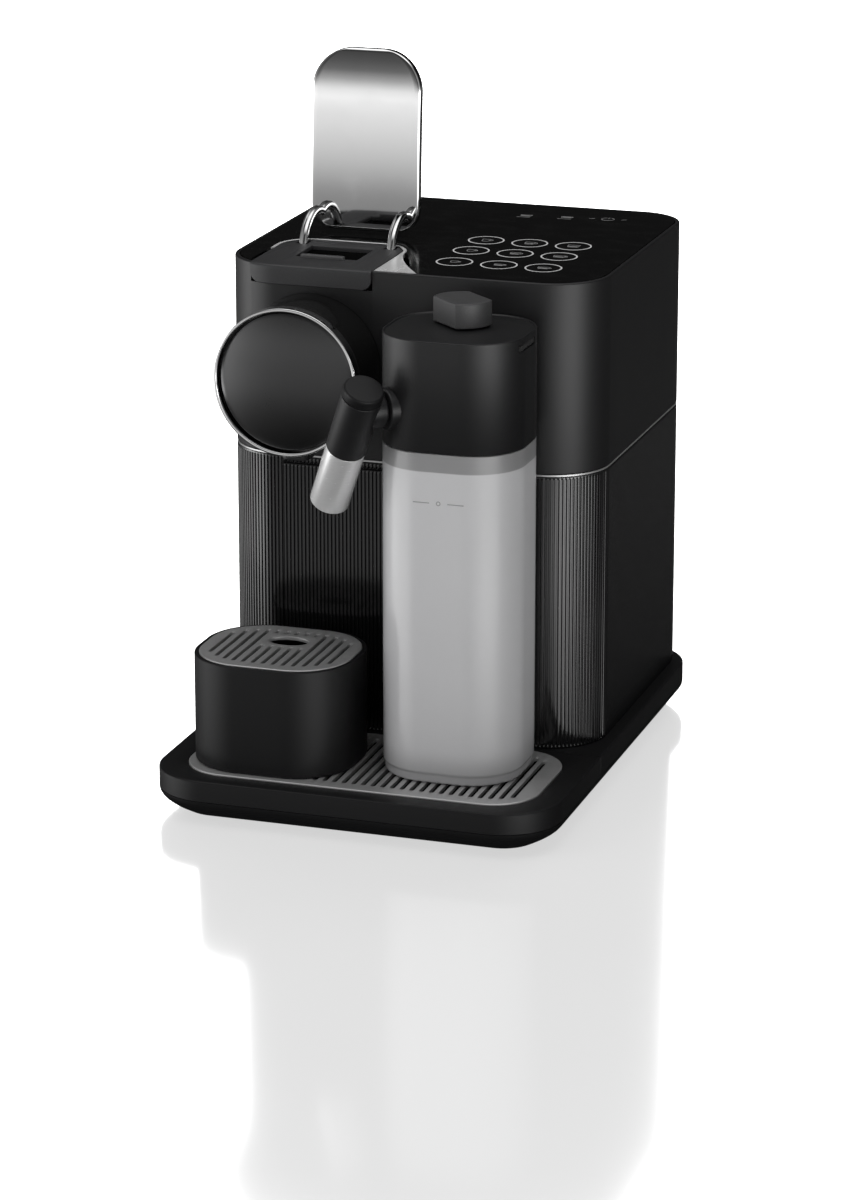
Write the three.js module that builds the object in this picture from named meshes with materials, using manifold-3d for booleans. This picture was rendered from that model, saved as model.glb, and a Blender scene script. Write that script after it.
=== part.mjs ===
// Pod coffee machine with a clip-on milk unit, in millimetres, +Z up.
// +X is the right-hand side seen from the front, -Y is the front, the floor is Z = 0.
import * as THREE from "three";
import { mergeVertices } from "three/addons/utils/BufferGeometryUtils.js";
import Module from "manifold-3d";

const wasm = await Module();
wasm.setup();

// ---------------------------------------------------------------- driving dimensions
const overallDepth = 367;
const gap = 0.3; // between pieces that touch or seat on each other
const slip = 0.8; // round pieces that pass through another
const wall = 2.5; // moulded shells

const trayProjection = 97; // drip tray in front of the body
const baseHeight = 22.7;
const baseBand = 10.6; // upright band round the base
const baseUndercut = 13; // how far the underside draws in
const baseCorner = 30;
const baseRearMargin = 3; // base behind the body
const baseSideMargin = 6; // base beside the body

const bodyWidth = 192;
const baseWidth = bodyWidth + 2 * baseSideMargin;
const bodyDepth = 178.5;
const bodyTop = 257;
const bodyFrontCorner = 30;
const bodyRearCorner = 25;
const waistHeight = 161.4; // joint between ribbed lower shell and smooth housing
const waistTrim = 0.8;
const topRim = 2.2; // housing rim showing round the control panel
const panelThickness = 2.4;

const binFrontWidth = 125; // front panel of the used-capsule container
const binWidth = 92;
const binDepth = 92;
const binTopClearance = 3.5;

const footRadius = 9;
const footHeight = 3;
const footInset = 20;

const gridLeft = 13; // drip grid's side margin to the base's edge
const gridFront = 11.3;
const gridCorner = 24;
const gridThickness = 1.8;
const gridProud = 0.5;
const gridSlot = 3.4;
const gridSlots = 18;
const gridMargin = 8; // from the grid's edge to its slots
const traySump = 12; // depth of the hollow under the grid

const supportWidth = 81;
const supportDepth = 71;
const supportHeight = 54;
const supportCorner = 29;
const supportCentreX = -47.8;
const supportFront = 14.9; // from the base's front edge
const supportSlots = 9;
const supportSlot = 3.2;
const supportMargin = 9; // from the cup support grid's edge to its slots
const supportDrain = 5; // radius of the hole in the support's floor
const fingerHoleWidth = 20;
const fingerHoleDepth = 13;
const fingerHoleSetback = 24; // from the support's rear

const headCentreX = -47; // lever, capsule slot, drum and faceplate share this plane
const headLeft = 32.5;
const headRight = 30.7;
const headDepth = 60;
const headCorner = 15;
const headSkirt = 9.4;
const headProud = 1.6;
const headThickness = 2;
const skirtSeat = 0.9; // how far the head's skirt sits into the housing
const capsuleSlotWidth = 32;
const capsuleSlotDepth = 25;
const capsuleSlotSetback = 20.5; // from the body's front
const lipWidth = 21;
const lipHeight = 1;
const trimWidth = 2;
const trimFlare = 22; // bright wedge right of the head, at the front edge

const drumRadius = 35.6;
const drumWall = 2.5;
const drumHeadGap = 3.4; // from the drum up to the head's skirt
const drumLength = 33;
const faceOverhang = 1; // faceplate's radius beyond the drum's
const faceThickness = 7;
const faceRingWidth = 2.4;
const nozzleWidth = 14;
const nozzleDrop = 6;
const nozzleSetback = 5; // behind the faceplate
const nozzleWall = 2.5;

const leverWidth = 57.6;
const leverLength = 91.5;
const leverThickness = 5;
const leverCorner = 16;
const leverPivotSetback = 70.5; // from the body's front
const leverPivotDepth = 6; // below the top face
const leverFaceOffset = 8; // from the pivot to the plate's polished face
const leverFoot = 8; // from the pivot up to the plate's lower edge
const armRadius = 18.8;
const armWidth = 4.4;
const armThickness = 4.6;
const shaftRadius = 2;
const hubRadius = 3.3;
const gearRadius = 9;
const gearTeeth = 16;
const toothWidth = 1.3;
const toothHeight = 1.2;
const gearThickness = 5;
const gearOffset = 9; // from the head's plane to the gears
const crankRadius = 16;
const crankPin = 2;
const yokeSlack = 1; // lost motion that lets the crank drive the piston
const yokeWall = 2.5;
const yokeHalfWidth = 4;
const cageWall = 2;
const cageDepth = 30;
const pistonThickness = 7;
const rodRadius = 5;
const frameThickness = 2.5;
const chuteWall = 1;
const frameClearance = 0.5; // between the chute and the brew frames
const frameHeight = 66;
const chuteDepth = 22;

const milkWidth = 70;
const milkDepth = 65.5;
const milkCorner = 26;
const milkCentreX = 39.5;
const milkStandoff = 2; // behind the milk unit, to the body's front
const milkWall = 2.2;
const milkHeight = 163.8;
const lidHeight = 53.7;
const lidPlug = 5; // how far the lid reaches into the container
const lidRoof = 4;
const sealThickness = 1.4;
const knobRadius = 14.5;
const knobFlat = 10;
const knobHeight = 12;
const knobTurn = 48; // degrees from the side-to-side axis to the knob's flats
const knobSetback = 23.7; // from the lid's rear face
const suctionRadius = 2.6;
const releaseWidth = 21;
const releaseHeight = 2.6;
const releaseDrop = 3.6;
const releaseTravel = 2;

const spoutAzimuth = 45; // degrees, direction of the neck off the lid's front-left corner
const spoutTilt = 31.5; // degrees from upright
const spoutRadius = 9.8;
const spoutBore = 6;
const spoutOffset = 16; // from the lid's corner to the spout's centre line
const spoutNeckRise = 18.4; // from the lid's foot to the spout's neck
const spoutAbove = 15.5;
const spoutBodyLength = 33.5;
const spoutSleeveLength = 35.6;
const spoutCapHeight = 5;
const neckRadius = 10;
const neckGap = 3;
const connectorRise = 14; // from the lid's foot to the steam connector
const connectorRadius = 6.6;
const connectorBore = 3.4;

const tankHalfWidth = 68;
const tankCorner = 24;
const tankTop = 226;
const tankWall = 2.2;
const tankLidHeight = 5;
const tankLidSkirt = 4;
const valveRadius = 8;
const socketRadius = 12;
const socketDepth = 8;
const rearCoverThickness = 2;

const inletWidth = 24;
const inletHeight = 14;
const inletDepth = 9;
const inletX = -26; // in the rear face of the tank's seat

// ---------------------------------------------------------------- derived places
const frontY = -overallDepth / 2;
const backY = overallDepth / 2;
const bodyFront = frontY + trayProjection;
const bodyBack = bodyFront + bodyDepth;
const baseBack = bodyBack + baseRearMargin;
const seam = bodyFront - 1.5; // between the drip tray and the fixed base
const gridTop = baseHeight + gridProud;
const standLevel = gridTop + gap; // what stands on the grid
const tankFloor = baseHeight + gap;
const drumHeight = bodyTop - headSkirt - drumHeadGap - drumRadius;
const faceRadius = drumRadius + faceOverhang;
const frameInner = capsuleSlotWidth / 2 + chuteWall + frameClearance;
const cageRadius = frameInner - gap;
const pistonRadius = cageRadius - cageWall - gap;
const armSpacing = 2 * (frameInner + frameThickness + slip + armWidth / 2);
const cornerSteps = 6;
const degrees = Math.PI / 180;

// ---------------------------------------------------------------- solids
// Closed solid of a three.js geometry.
function solid(geometry) {
  const bare = geometry.index ? geometry.toNonIndexed() : geometry.clone();
  bare.deleteAttribute("normal");
  bare.deleteAttribute("uv");
  const merged = mergeVertices(bare, 1e-4);
  return new wasm.Manifold(
    new wasm.Mesh({
      numProp: 3,
      vertProperties: merged.attributes.position.array,
      triVerts: new Uint32Array(merged.index.array),
    }),
  );
}

function geometryOf(made) {
  const mesh = made.getMesh();
  const geometry = new THREE.BufferGeometry();
  geometry.setAttribute("position", new THREE.BufferAttribute(mesh.vertProperties, 3));
  geometry.setIndex(new THREE.BufferAttribute(mesh.triVerts, 1));
  geometry.computeVertexNormals();
  return geometry;
}

const join = (first, ...rest) => rest.reduce((all, next) => all.add(next), first);
const cut = (first, ...rest) => rest.reduce((left, next) => left.subtract(next), first);

function block(x0, x1, y0, y1, z0, z1) {
  const box = new THREE.BoxGeometry(x1 - x0, y1 - y0, z1 - z0);
  return solid(box.translate((x0 + x1) / 2, (y0 + y1) / 2, (z0 + z1) / 2));
}

// Points of a rectangle with round corners, counter-clockwise: front and rear radii may differ.
function outline(x0, x1, y0, y1, front, rear = front, steps = cornerSteps) {
  const corners = [
    [x1 - rear, y1 - rear, rear, 0],
    [x0 + rear, y1 - rear, rear, 1],
    [x0 + front, y0 + front, front, 2],
    [x1 - front, y0 + front, front, 3],
  ];
  return corners.flatMap(([cx, cy, r, quarter]) =>
    Array.from({ length: steps + 1 }, (_, i) => {
      const a = ((quarter + i / steps) * Math.PI) / 2;
      return [cx + r * Math.cos(a), cy + r * Math.sin(a)];
    }),
  );
}

// Closed solid through convex outlines, each [points, height], from the lowest to the highest.
function loft(sections) {
  const count = sections[0][0].length;
  const positions = sections.flatMap(([points, z]) => points.flatMap(([x, y]) => [x, y, z]));
  const index = [];
  for (let i = 1; i < count - 1; i++) {
    const top = (sections.length - 1) * count;
    index.push(0, i + 1, i, top, top + i, top + i + 1);
  }
  for (let level = 0; level < sections.length - 1; level++) {
    for (let i = 0; i < count; i++) {
      const a = level * count + i;
      const b = level * count + ((i + 1) % count);
      index.push(a, b, b + count, a, b + count, a + count);
    }
  }
  const geometry = new THREE.BufferGeometry();
  geometry.setAttribute("position", new THREE.Float32BufferAttribute(positions, 3));
  geometry.setIndex(index);
  return solid(geometry);
}

const prism = (points, z0, z1) =>
  loft([
    [points, z0],
    [points, z1],
  ]);

// Cylinder from point a to point b.
function rod(a, b, radius, sides = 20, endRadius = radius) {
  const from = new THREE.Vector3(...a);
  const to = new THREE.Vector3(...b);
  const along = to.clone().sub(from);
  const geometry = new THREE.CylinderGeometry(endRadius, radius, along.length(), sides);
  const turn = new THREE.Quaternion().setFromUnitVectors(
    new THREE.Vector3(0, 1, 0),
    along.clone().normalize(),
  );
  const middle = from.add(to).multiplyScalar(0.5);
  return solid(geometry.applyQuaternion(turn).translate(middle.x, middle.y, middle.z));
}

// Flat-ended extrusion along X of an outline in the side plane, given as [y, z] points.
function sideExtrusion(points, x0, x1) {
  const shape = new THREE.Shape(points.map(([y, z]) => new THREE.Vector2(y, z)));
  const geometry = new THREE.ExtrudeGeometry(shape, { depth: x1 - x0, bevelEnabled: false });
  const axes = new THREE.Matrix4().makeBasis(
    new THREE.Vector3(0, 1, 0),
    new THREE.Vector3(0, 0, 1),
    new THREE.Vector3(1, 0, 0),
  );
  return solid(geometry.applyMatrix4(axes).translate(x0, 0, 0));
}

// Tube along a smooth curve through points.
function hose(points, radius, steps) {
  const path = new THREE.CatmullRomCurve3(points.map((p) => new THREE.Vector3(...p)));
  const ring = Array.from({ length: 10 }, (_, i) => {
    const a = (i * Math.PI) / 5;
    return new THREE.Vector2(radius * Math.cos(a), radius * Math.sin(a));
  });
  return solid(
    new THREE.ExtrudeGeometry(new THREE.Shape(ring), { steps, extrudePath: path }),
  );
}

// ---------------------------------------------------------------- colours
const finishes = {
  satinBlack: [0x1a1b1c, 0.45, 0],
  glossBlack: [0x060606, 0.12, 0],
  headGrey: [0x343536, 0.5, 0],
  chrome: [0xd8d8d8, 0.06, 1],
  steel: [0xa8a8a6, 0.28, 1],
  frosted: [0xb8babb, 0.35, 0],
  smoked: [0x2b2d2f, 0.15, 0],
  rubber: [0x101010, 0.9, 0],
  whitePlastic: [0xd9d9d4, 0.5, 0],
  brass: [0xb08d4a, 0.35, 1],
  board: [0x1d5a36, 0.6, 0],
  aluminium: [0xb4b6b8, 0.4, 1],
};

const machine = new THREE.Group();
machine.name = "pod_coffee_machine";

function add(name, finish, made, parent = machine) {
  const [color, roughness, metalness] = finishes[finish];
  const material = new THREE.MeshStandardMaterial({ color, roughness, metalness });
  const mesh = new THREE.Mesh(geometryOf(made), material);
  mesh.name = name;
  parent.add(mesh);
  return mesh;
}

// ---------------------------------------------------------------- outlines that pieces share
const bodyOutline = (inset) =>
  outline(
    -bodyWidth / 2 + inset,
    bodyWidth / 2 - inset,
    bodyFront + inset,
    bodyBack - inset,
    Math.max(bodyFrontCorner - inset, 1),
    Math.max(bodyRearCorner - inset, 1),
  );

const baseOutline = (inset) =>
  outline(
    -baseWidth / 2 + inset,
    baseWidth / 2 - inset,
    frontY + inset,
    baseBack - inset,
    baseCorner - inset,
  );

// Whole base form: upright band over a drawn-in, rounded underside.
function baseForm() {
  const bandFoot = baseHeight - baseBand;
  const underside = [0, 0.35, 0.7, 1].map((t) => {
    const drawIn = baseUndercut * (1 - Math.sin((t * Math.PI) / 2));
    return [baseOutline(drawIn), 1 + (bandFoot - 1) * t];
  });
  const softEdge = 0.8;
  return loft([
    ...underside,
    [baseOutline(0), baseHeight - softEdge],
    [baseOutline(softEdge), baseHeight],
  ]);
}

const gridSpan = {
  x0: -baseWidth / 2 + gridLeft,
  x1: baseWidth / 2 - gridLeft,
  y0: frontY + gridFront,
  y1: seam - wall - gap,
};

const gridOutline = (inset) =>
  outline(
    gridSpan.x0 + inset,
    gridSpan.x1 - inset,
    gridSpan.y0 + inset,
    gridSpan.y1 - inset,
    gridCorner - inset,
  );

// ---------------------------------------------------------------- base
function addBase() {
  const form = baseForm();
  const reach = baseWidth;
  const fixed = cut(form, block(-reach, reach, frontY - 1, seam, -1, baseHeight + 1));
  const seat = loft([
    [tankOutline(0), 1],
    [tankOutline(0), baseHeight],
  ]);
  const bridge = block(
    -tankHalfWidth,
    tankHalfWidth,
    bodyBack - bodyRearCorner,
    tankSpan.y0 + tankCorner,
    1,
    baseHeight,
  );
  const footX = baseWidth / 2 - baseUndercut - footInset;
  const socketHole = rod(
    [0, tankMiddle, baseHeight - socketDepth],
    [0, tankMiddle, baseHeight + 1],
    socketRadius + gap,
    24,
  );
  const glandPocket = glandBlock(gap, inletDepth + gap, -1);
  const binPath = block(
    -binFrontWidth / 2 - 1,
    binFrontWidth / 2 + 1,
    seam - 1,
    bodyFront + binDepth + 4,
    baseHeight - 1.5,
    baseHeight + 1,
  );
  const feet = [
    ["front_left", -1, footX, seam + footInset],
    ["front_right", 1, footX, seam + footInset],
    ["rear_left", -1, tankHalfWidth - tankCorner, backY - tankCorner - footRadius],
    ["rear_right", 1, tankHalfWidth - tankCorner, backY - tankCorner - footRadius],
  ];
  const pockets = feet.map(([, sign, x, y]) =>
    rod([sign * x, y, -1], [sign * x, y, footHeight + gap], footRadius + gap, 20),
  );
  const whole = join(fixed, seat, bridge);
  const frame = cut(whole, socketHole, binPath, glandPocket, ...pockets);
  add("base_frame", "satinBlack", frame);
  for (const [place, sign, x, y] of feet) {
    const foot = rod([sign * x, y, 0], [sign * x, y, footHeight], footRadius - 1, 20, footRadius - 0.2);
    add(`foot_${place}`, "rubber", foot);
  }
}

// ---------------------------------------------------------------- drip tray and cup support
function addTray() {
  const form = baseForm();
  const reach = baseWidth;
  const front = cut(form, block(-reach, reach, seam - gap, backY, -1, baseHeight + 1));
  const sump = prism(gridOutline(3), baseHeight - gridThickness - traySump, baseHeight + 1);
  const ledge = prism(gridOutline(-gap), gridTop - gridThickness - gap, baseHeight + 1);
  add("drip_tray", "satinBlack", cut(front, sump, ledge));

  const slots = [];
  const pitch = (gridSpan.x1 - gridSpan.x0 - 2 * gridMargin) / gridSlots;
  const halfWidth = (gridSpan.x1 - gridSpan.x0) / 2;
  for (let i = 0; i < gridSlots; i++) {
    const x = gridSpan.x0 + gridMargin + pitch * (i + 0.5);
    const edge = Math.max(0, gridCorner - (halfWidth - Math.abs(x)));
    const round = gridCorner - Math.sqrt(Math.max(0, gridCorner ** 2 - edge ** 2));
    const margin = gridMargin + round;
    slots.push(
      block(
        x - gridSlot / 2,
        x + gridSlot / 2,
        gridSpan.y0 + margin,
        gridSpan.y1 - margin,
        0,
        gridTop + 1,
      ),
    );
  }
  add("drip_grid", "steel", cut(prism(gridOutline(0), gridTop - gridThickness, gridTop), ...slots));
}

const supportSpan = {
  x0: supportCentreX - supportWidth / 2,
  x1: supportCentreX + supportWidth / 2,
  y0: frontY + supportFront,
  y1: frontY + supportFront + supportDepth,
};

const supportOutline = (inset) =>
  outline(
    supportSpan.x0 + inset,
    supportSpan.x1 - inset,
    supportSpan.y0 + inset,
    supportSpan.y1 - inset,
    supportCorner - inset,
  );

function addCupSupport() {
  const top = standLevel + supportHeight;
  const shell = prism(supportOutline(0), standLevel, top);
  const inside = prism(supportOutline(wall + 1), standLevel + wall, top + 1);
  const ledge = prism(supportOutline(wall - 0.5), top - gridThickness - gap, top + 1);
  const middleY = (supportSpan.y0 + supportSpan.y1) / 2;
  const drain = rod(
    [supportCentreX, middleY, standLevel - 1],
    [supportCentreX, middleY, standLevel + wall + 1],
    supportDrain,
    12,
  );
  add("cup_support", "satinBlack", cut(shell, inside, ledge, drain));

  const plate = prism(supportOutline(wall - 0.5 + gap), top - gridThickness, top);
  const holeY = supportSpan.y1 - fingerHoleSetback;
  const hole = rod([0, 0, top - 9], [0, 0, top + 9], fingerHoleWidth / 2, 16);
  const oval = hole
    .scale([1, fingerHoleDepth / fingerHoleWidth, 1])
    .translate([supportCentreX, holeY, 0]);
  const slots = [];
  const pitch = (supportWidth - 2 * supportMargin) / supportSlots;
  for (let i = 0; i < supportSlots; i++) {
    const x = supportSpan.x0 + supportMargin + pitch * (i + 0.5);
    const edge = Math.max(0, supportCorner - (supportWidth / 2 - Math.abs(x - supportCentreX)));
    const round = supportCorner - Math.sqrt(Math.max(0, supportCorner ** 2 - edge ** 2));
    const near = Math.abs(x - supportCentreX) < fingerHoleWidth / 2 + 3;
    const margin = supportMargin + round;
    const rear = near ? holeY - fingerHoleDepth / 2 - 4 : supportSpan.y1 - margin;
    slots.push(
      block(
        x - supportSlot / 2,
        x + supportSlot / 2,
        supportSpan.y0 + margin,
        rear,
        top - 9,
        top + 1,
      ),
    );
  }
  add("cup_support_grid", "steel", cut(plate, oval, ...slots));
}

// ---------------------------------------------------------------- body shells
function addBody() {
  const lowerTop = waistHeight - gap;
  const doorway = binFrontWidth / 2 + gap;
  const lower = cut(
    prism(bodyOutline(0), baseHeight + gap, lowerTop),
    prism(bodyOutline(wall), 0, bodyTop),
    block(-doorway, doorway, bodyFront - 1, bodyFront + wall + 1, 0, lowerTop - binTopClearance),
  );
  add("lower_shell", "glossBlack", lower);

  const trim = cut(
    prism(bodyOutline(0.6), waistHeight, waistHeight + waistTrim),
    prism(bodyOutline(wall + 0.4), 0, bodyTop),
  );
  add("waist_trim", "steel", trim);

  const upperFoot = waistHeight + waistTrim + gap;
  const throat = drumRadius - drumWall - 1;
  const throughFront = (x, z, radius, sides) =>
    rod([x, bodyFront - 5, z], [x, bodyFront + 5, z], radius, sides);
  const upper = cut(
    prism(bodyOutline(0), upperFoot, bodyTop),
    prism(bodyOutline(wall), 0, bodyTop - panelThickness - wall),
    prism(bodyOutline(topRim), bodyTop - panelThickness - gap, bodyTop + 1),
    prism(bodyOutline(wall + 3), 0, bodyTop + 1),
    throughFront(headCentreX, drumHeight, throat, 32),
    throughFront(milkCentreX, connectorHeight, connectorRadius + gap, 20),
    headNotch(),
  );
  add("upper_housing", "satinBlack", upper);

  const rear = prism(
    outline(-tankHalfWidth, tankHalfWidth, bodyBack + gap, bodyBack + gap + rearCoverThickness, 0.5),
    baseHeight + gap,
    bodyTop - 12,
  );
  add("rear_cover", "satinBlack", rear);
}

// Bright strip and wedge round the capsule head.
function headOutline(grow) {
  return outline(
    headCentreX - headLeft - grow,
    headCentreX + headRight + grow,
    bodyFront - headProud - 10,
    bodyFront + headDepth + grow,
    1,
    headCorner + grow,
  );
}

function wedge(grow, z0, z1) {
  const x = headCentreX + headRight;
  const points = [
    [x - 4, bodyFront - 0.1],
    [x + trimFlare + grow, bodyFront - 0.1],
    [x + trimFlare * 0.72 + grow, bodyFront + 12],
    [x + trimFlare * 0.46 + grow, bodyFront + 26],
    [x + trimFlare * 0.2 + grow, bodyFront + 42],
    [x - 4, bodyFront + 50],
  ];
  return prism(points, z0, z1);
}

// Room for the head cover in the housing's front: its skirt outside and its roof over the rim.
function headNotch() {
  const across = (z0) =>
    block(
      headCentreX - headLeft - gap,
      headCentreX + headRight + gap,
      bodyFront - 9,
      bodyFront + headDepth / 2,
      z0,
      bodyTop + 1,
    );
  const behindSkirt = prism(bodyOutline(skirtSeat + gap), 0, bodyTop + 9);
  const skirtRoom = cut(across(bodyTop - headSkirt - gap), behindSkirt);
  return join(skirtRoom, across(bodyTop - headThickness));
}

function addHead() {
  const top = bodyTop + gap;
  const grown = outline(
    -bodyWidth / 2 - headProud,
    bodyWidth / 2 + headProud,
    bodyFront - headProud,
    bodyBack,
    bodyFrontCorner + headProud,
    bodyRearCorner,
    12,
  );
  const inFront = prism(grown, bodyTop - headSkirt, top);
  const footprint = prism(headOutline(0), 0, bodyTop + 9);
  const under = prism(
    outline(
      -bodyWidth / 2 + skirtSeat,
      bodyWidth / 2 - skirtSeat,
      bodyFront + skirtSeat,
      bodyBack,
      bodyFrontCorner - skirtSeat,
      bodyRearCorner,
      12,
    ),
    0,
    top - headThickness,
  );
  const slotY = bodyFront + capsuleSlotSetback;
  const slot = block(
    headCentreX - capsuleSlotWidth / 2,
    headCentreX + capsuleSlotWidth / 2,
    slotY,
    slotY + capsuleSlotDepth,
    0,
    bodyTop + 9,
  );
  const armSlots = [-1, 1].map((side) => {
    const x = headCentreX + (side * armSpacing) / 2;
    const half = armWidth / 2 + slip;
    const front = pivotY - armRadius - 3.2;
    return block(x - half, x + half, front, front + 8.2, 0, bodyTop + 9);
  });
  const cover = cut(inFront.intersect(footprint), under, slot, ...armSlots);
  add("head_cover", "headGrey", cover);

  const lip = block(
    headCentreX - lipWidth / 2 - 1,
    headCentreX + lipWidth / 2 - 1,
    slotY - 3.4,
    slotY - gap,
    top + gap,
    top + gap + lipHeight,
  );
  add("slot_lip", "chrome", lip);

  const trimTop = bodyTop + 0.1;
  const trimFoot = bodyTop - panelThickness;
  const strip = cut(
    join(prism(headOutline(trimWidth), trimFoot, trimTop), wedge(0, trimFoot, trimTop)),
    prism(headOutline(gap), 0, bodyTop + 9),
  );
  add("head_trim", "chrome", strip.intersect(prism(bodyOutline(topRim + gap), 0, bodyTop + 9)));
}

function addControlPanel() {
  const panel = cut(
    prism(bodyOutline(topRim + gap), bodyTop - panelThickness, bodyTop),
    prism(headOutline(trimWidth + gap), 0, bodyTop + 9),
    wedge(gap, 0, bodyTop + 9),
  );
  add("control_panel", "glossBlack", panel);

  const boardTop = bodyTop - panelThickness - wall - 2;
  const board = block(
    headCentreX + headRight + trimFlare + 4,
    bodyWidth / 2 - wall - 6,
    bodyFront + 22,
    bodyBack - 20,
    boardTop - 1.6,
    boardTop,
  );
  add("control_board", "board", board);
}

// ---------------------------------------------------------------- brewing head
const pivotY = bodyFront + leverPivotSetback;
const pivotZ = bodyTop - leverPivotDepth;
const gearZ = pivotZ - 2 * gearRadius;
const gearX = headCentreX + gearOffset;
const pinDrop = crankRadius * Math.SQRT1_2;
const pistonBack = bodyFront + capsuleSlotSetback + capsuleSlotDepth + 1;
const cageMouth = bodyFront + capsuleSlotSetback - 0.5;

function gearWheel(x0, x1, y, z, phase, bore) {
  const body = rod([x0, y, z], [x1, y, z], gearRadius - toothHeight, 24);
  const teeth = Array.from({ length: gearTeeth }, (_, i) => {
    const a = ((i + phase) * 2 * Math.PI) / gearTeeth;
    const tooth = new THREE.BoxGeometry(x1 - x0, toothWidth, toothHeight * 2 + 1);
    tooth.translate(0, 0, gearRadius - 0.5);
    tooth.rotateX(a);
    tooth.translate((x0 + x1) / 2, y, z);
    return solid(tooth);
  });
  return cut(join(body, ...teeth), rod([x0 - 1, y, z], [x1 + 1, y, z], bore, 20));
}

function addDrum() {
  const faceBack = bodyFront - drumLength;
  const centre = (y) => [headCentreX, y, drumHeight];
  const drum = cut(
    rod(centre(bodyFront - gap), centre(faceBack), drumRadius, 40),
    rod(centre(bodyFront + 5), centre(faceBack - 5), drumRadius - drumWall, 40),
  );
  const nozzleFront = faceBack + nozzleSetback;
  const nozzleHole = block(
    headCentreX - nozzleWidth / 2 - gap,
    headCentreX + nozzleWidth / 2 + gap,
    nozzleFront - gap,
    nozzleFront + nozzleWidth + gap,
    drumHeight - drumRadius - 5,
    drumHeight - drumRadius + 8,
  );
  add("outlet_drum", "glossBlack", cut(drum, nozzleHole));

  const diskFront = faceBack - gap - faceThickness;
  const diskRadius = faceRadius - faceRingWidth - gap;
  const disk = rod(centre(faceBack - gap), centre(diskFront), diskRadius, 40);
  add("faceplate", "satinBlack", disk);
  const ring = cut(
    rod(centre(faceBack - gap), centre(diskFront), faceRadius, 40),
    rod(centre(faceBack + 1), centre(diskFront - 1), faceRadius - faceRingWidth, 40),
  );
  add("faceplate_ring", "chrome", ring);

  const nozzleTop = drumHeight - drumRadius + 6;
  const nozzleBottom = drumHeight - drumRadius - nozzleDrop;
  const nozzle = cut(
    block(
      headCentreX - nozzleWidth / 2,
      headCentreX + nozzleWidth / 2,
      nozzleFront,
      nozzleFront + nozzleWidth,
      nozzleBottom,
      nozzleTop,
    ),
    block(
      headCentreX - nozzleWidth / 2 + nozzleWall,
      headCentreX + nozzleWidth / 2 - nozzleWall,
      nozzleFront + nozzleWall,
      nozzleFront + nozzleWidth - nozzleWall,
      nozzleBottom - 1,
      nozzleTop + 1,
    ),
  );
  add("coffee_nozzle", "satinBlack", nozzle);
}

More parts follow.
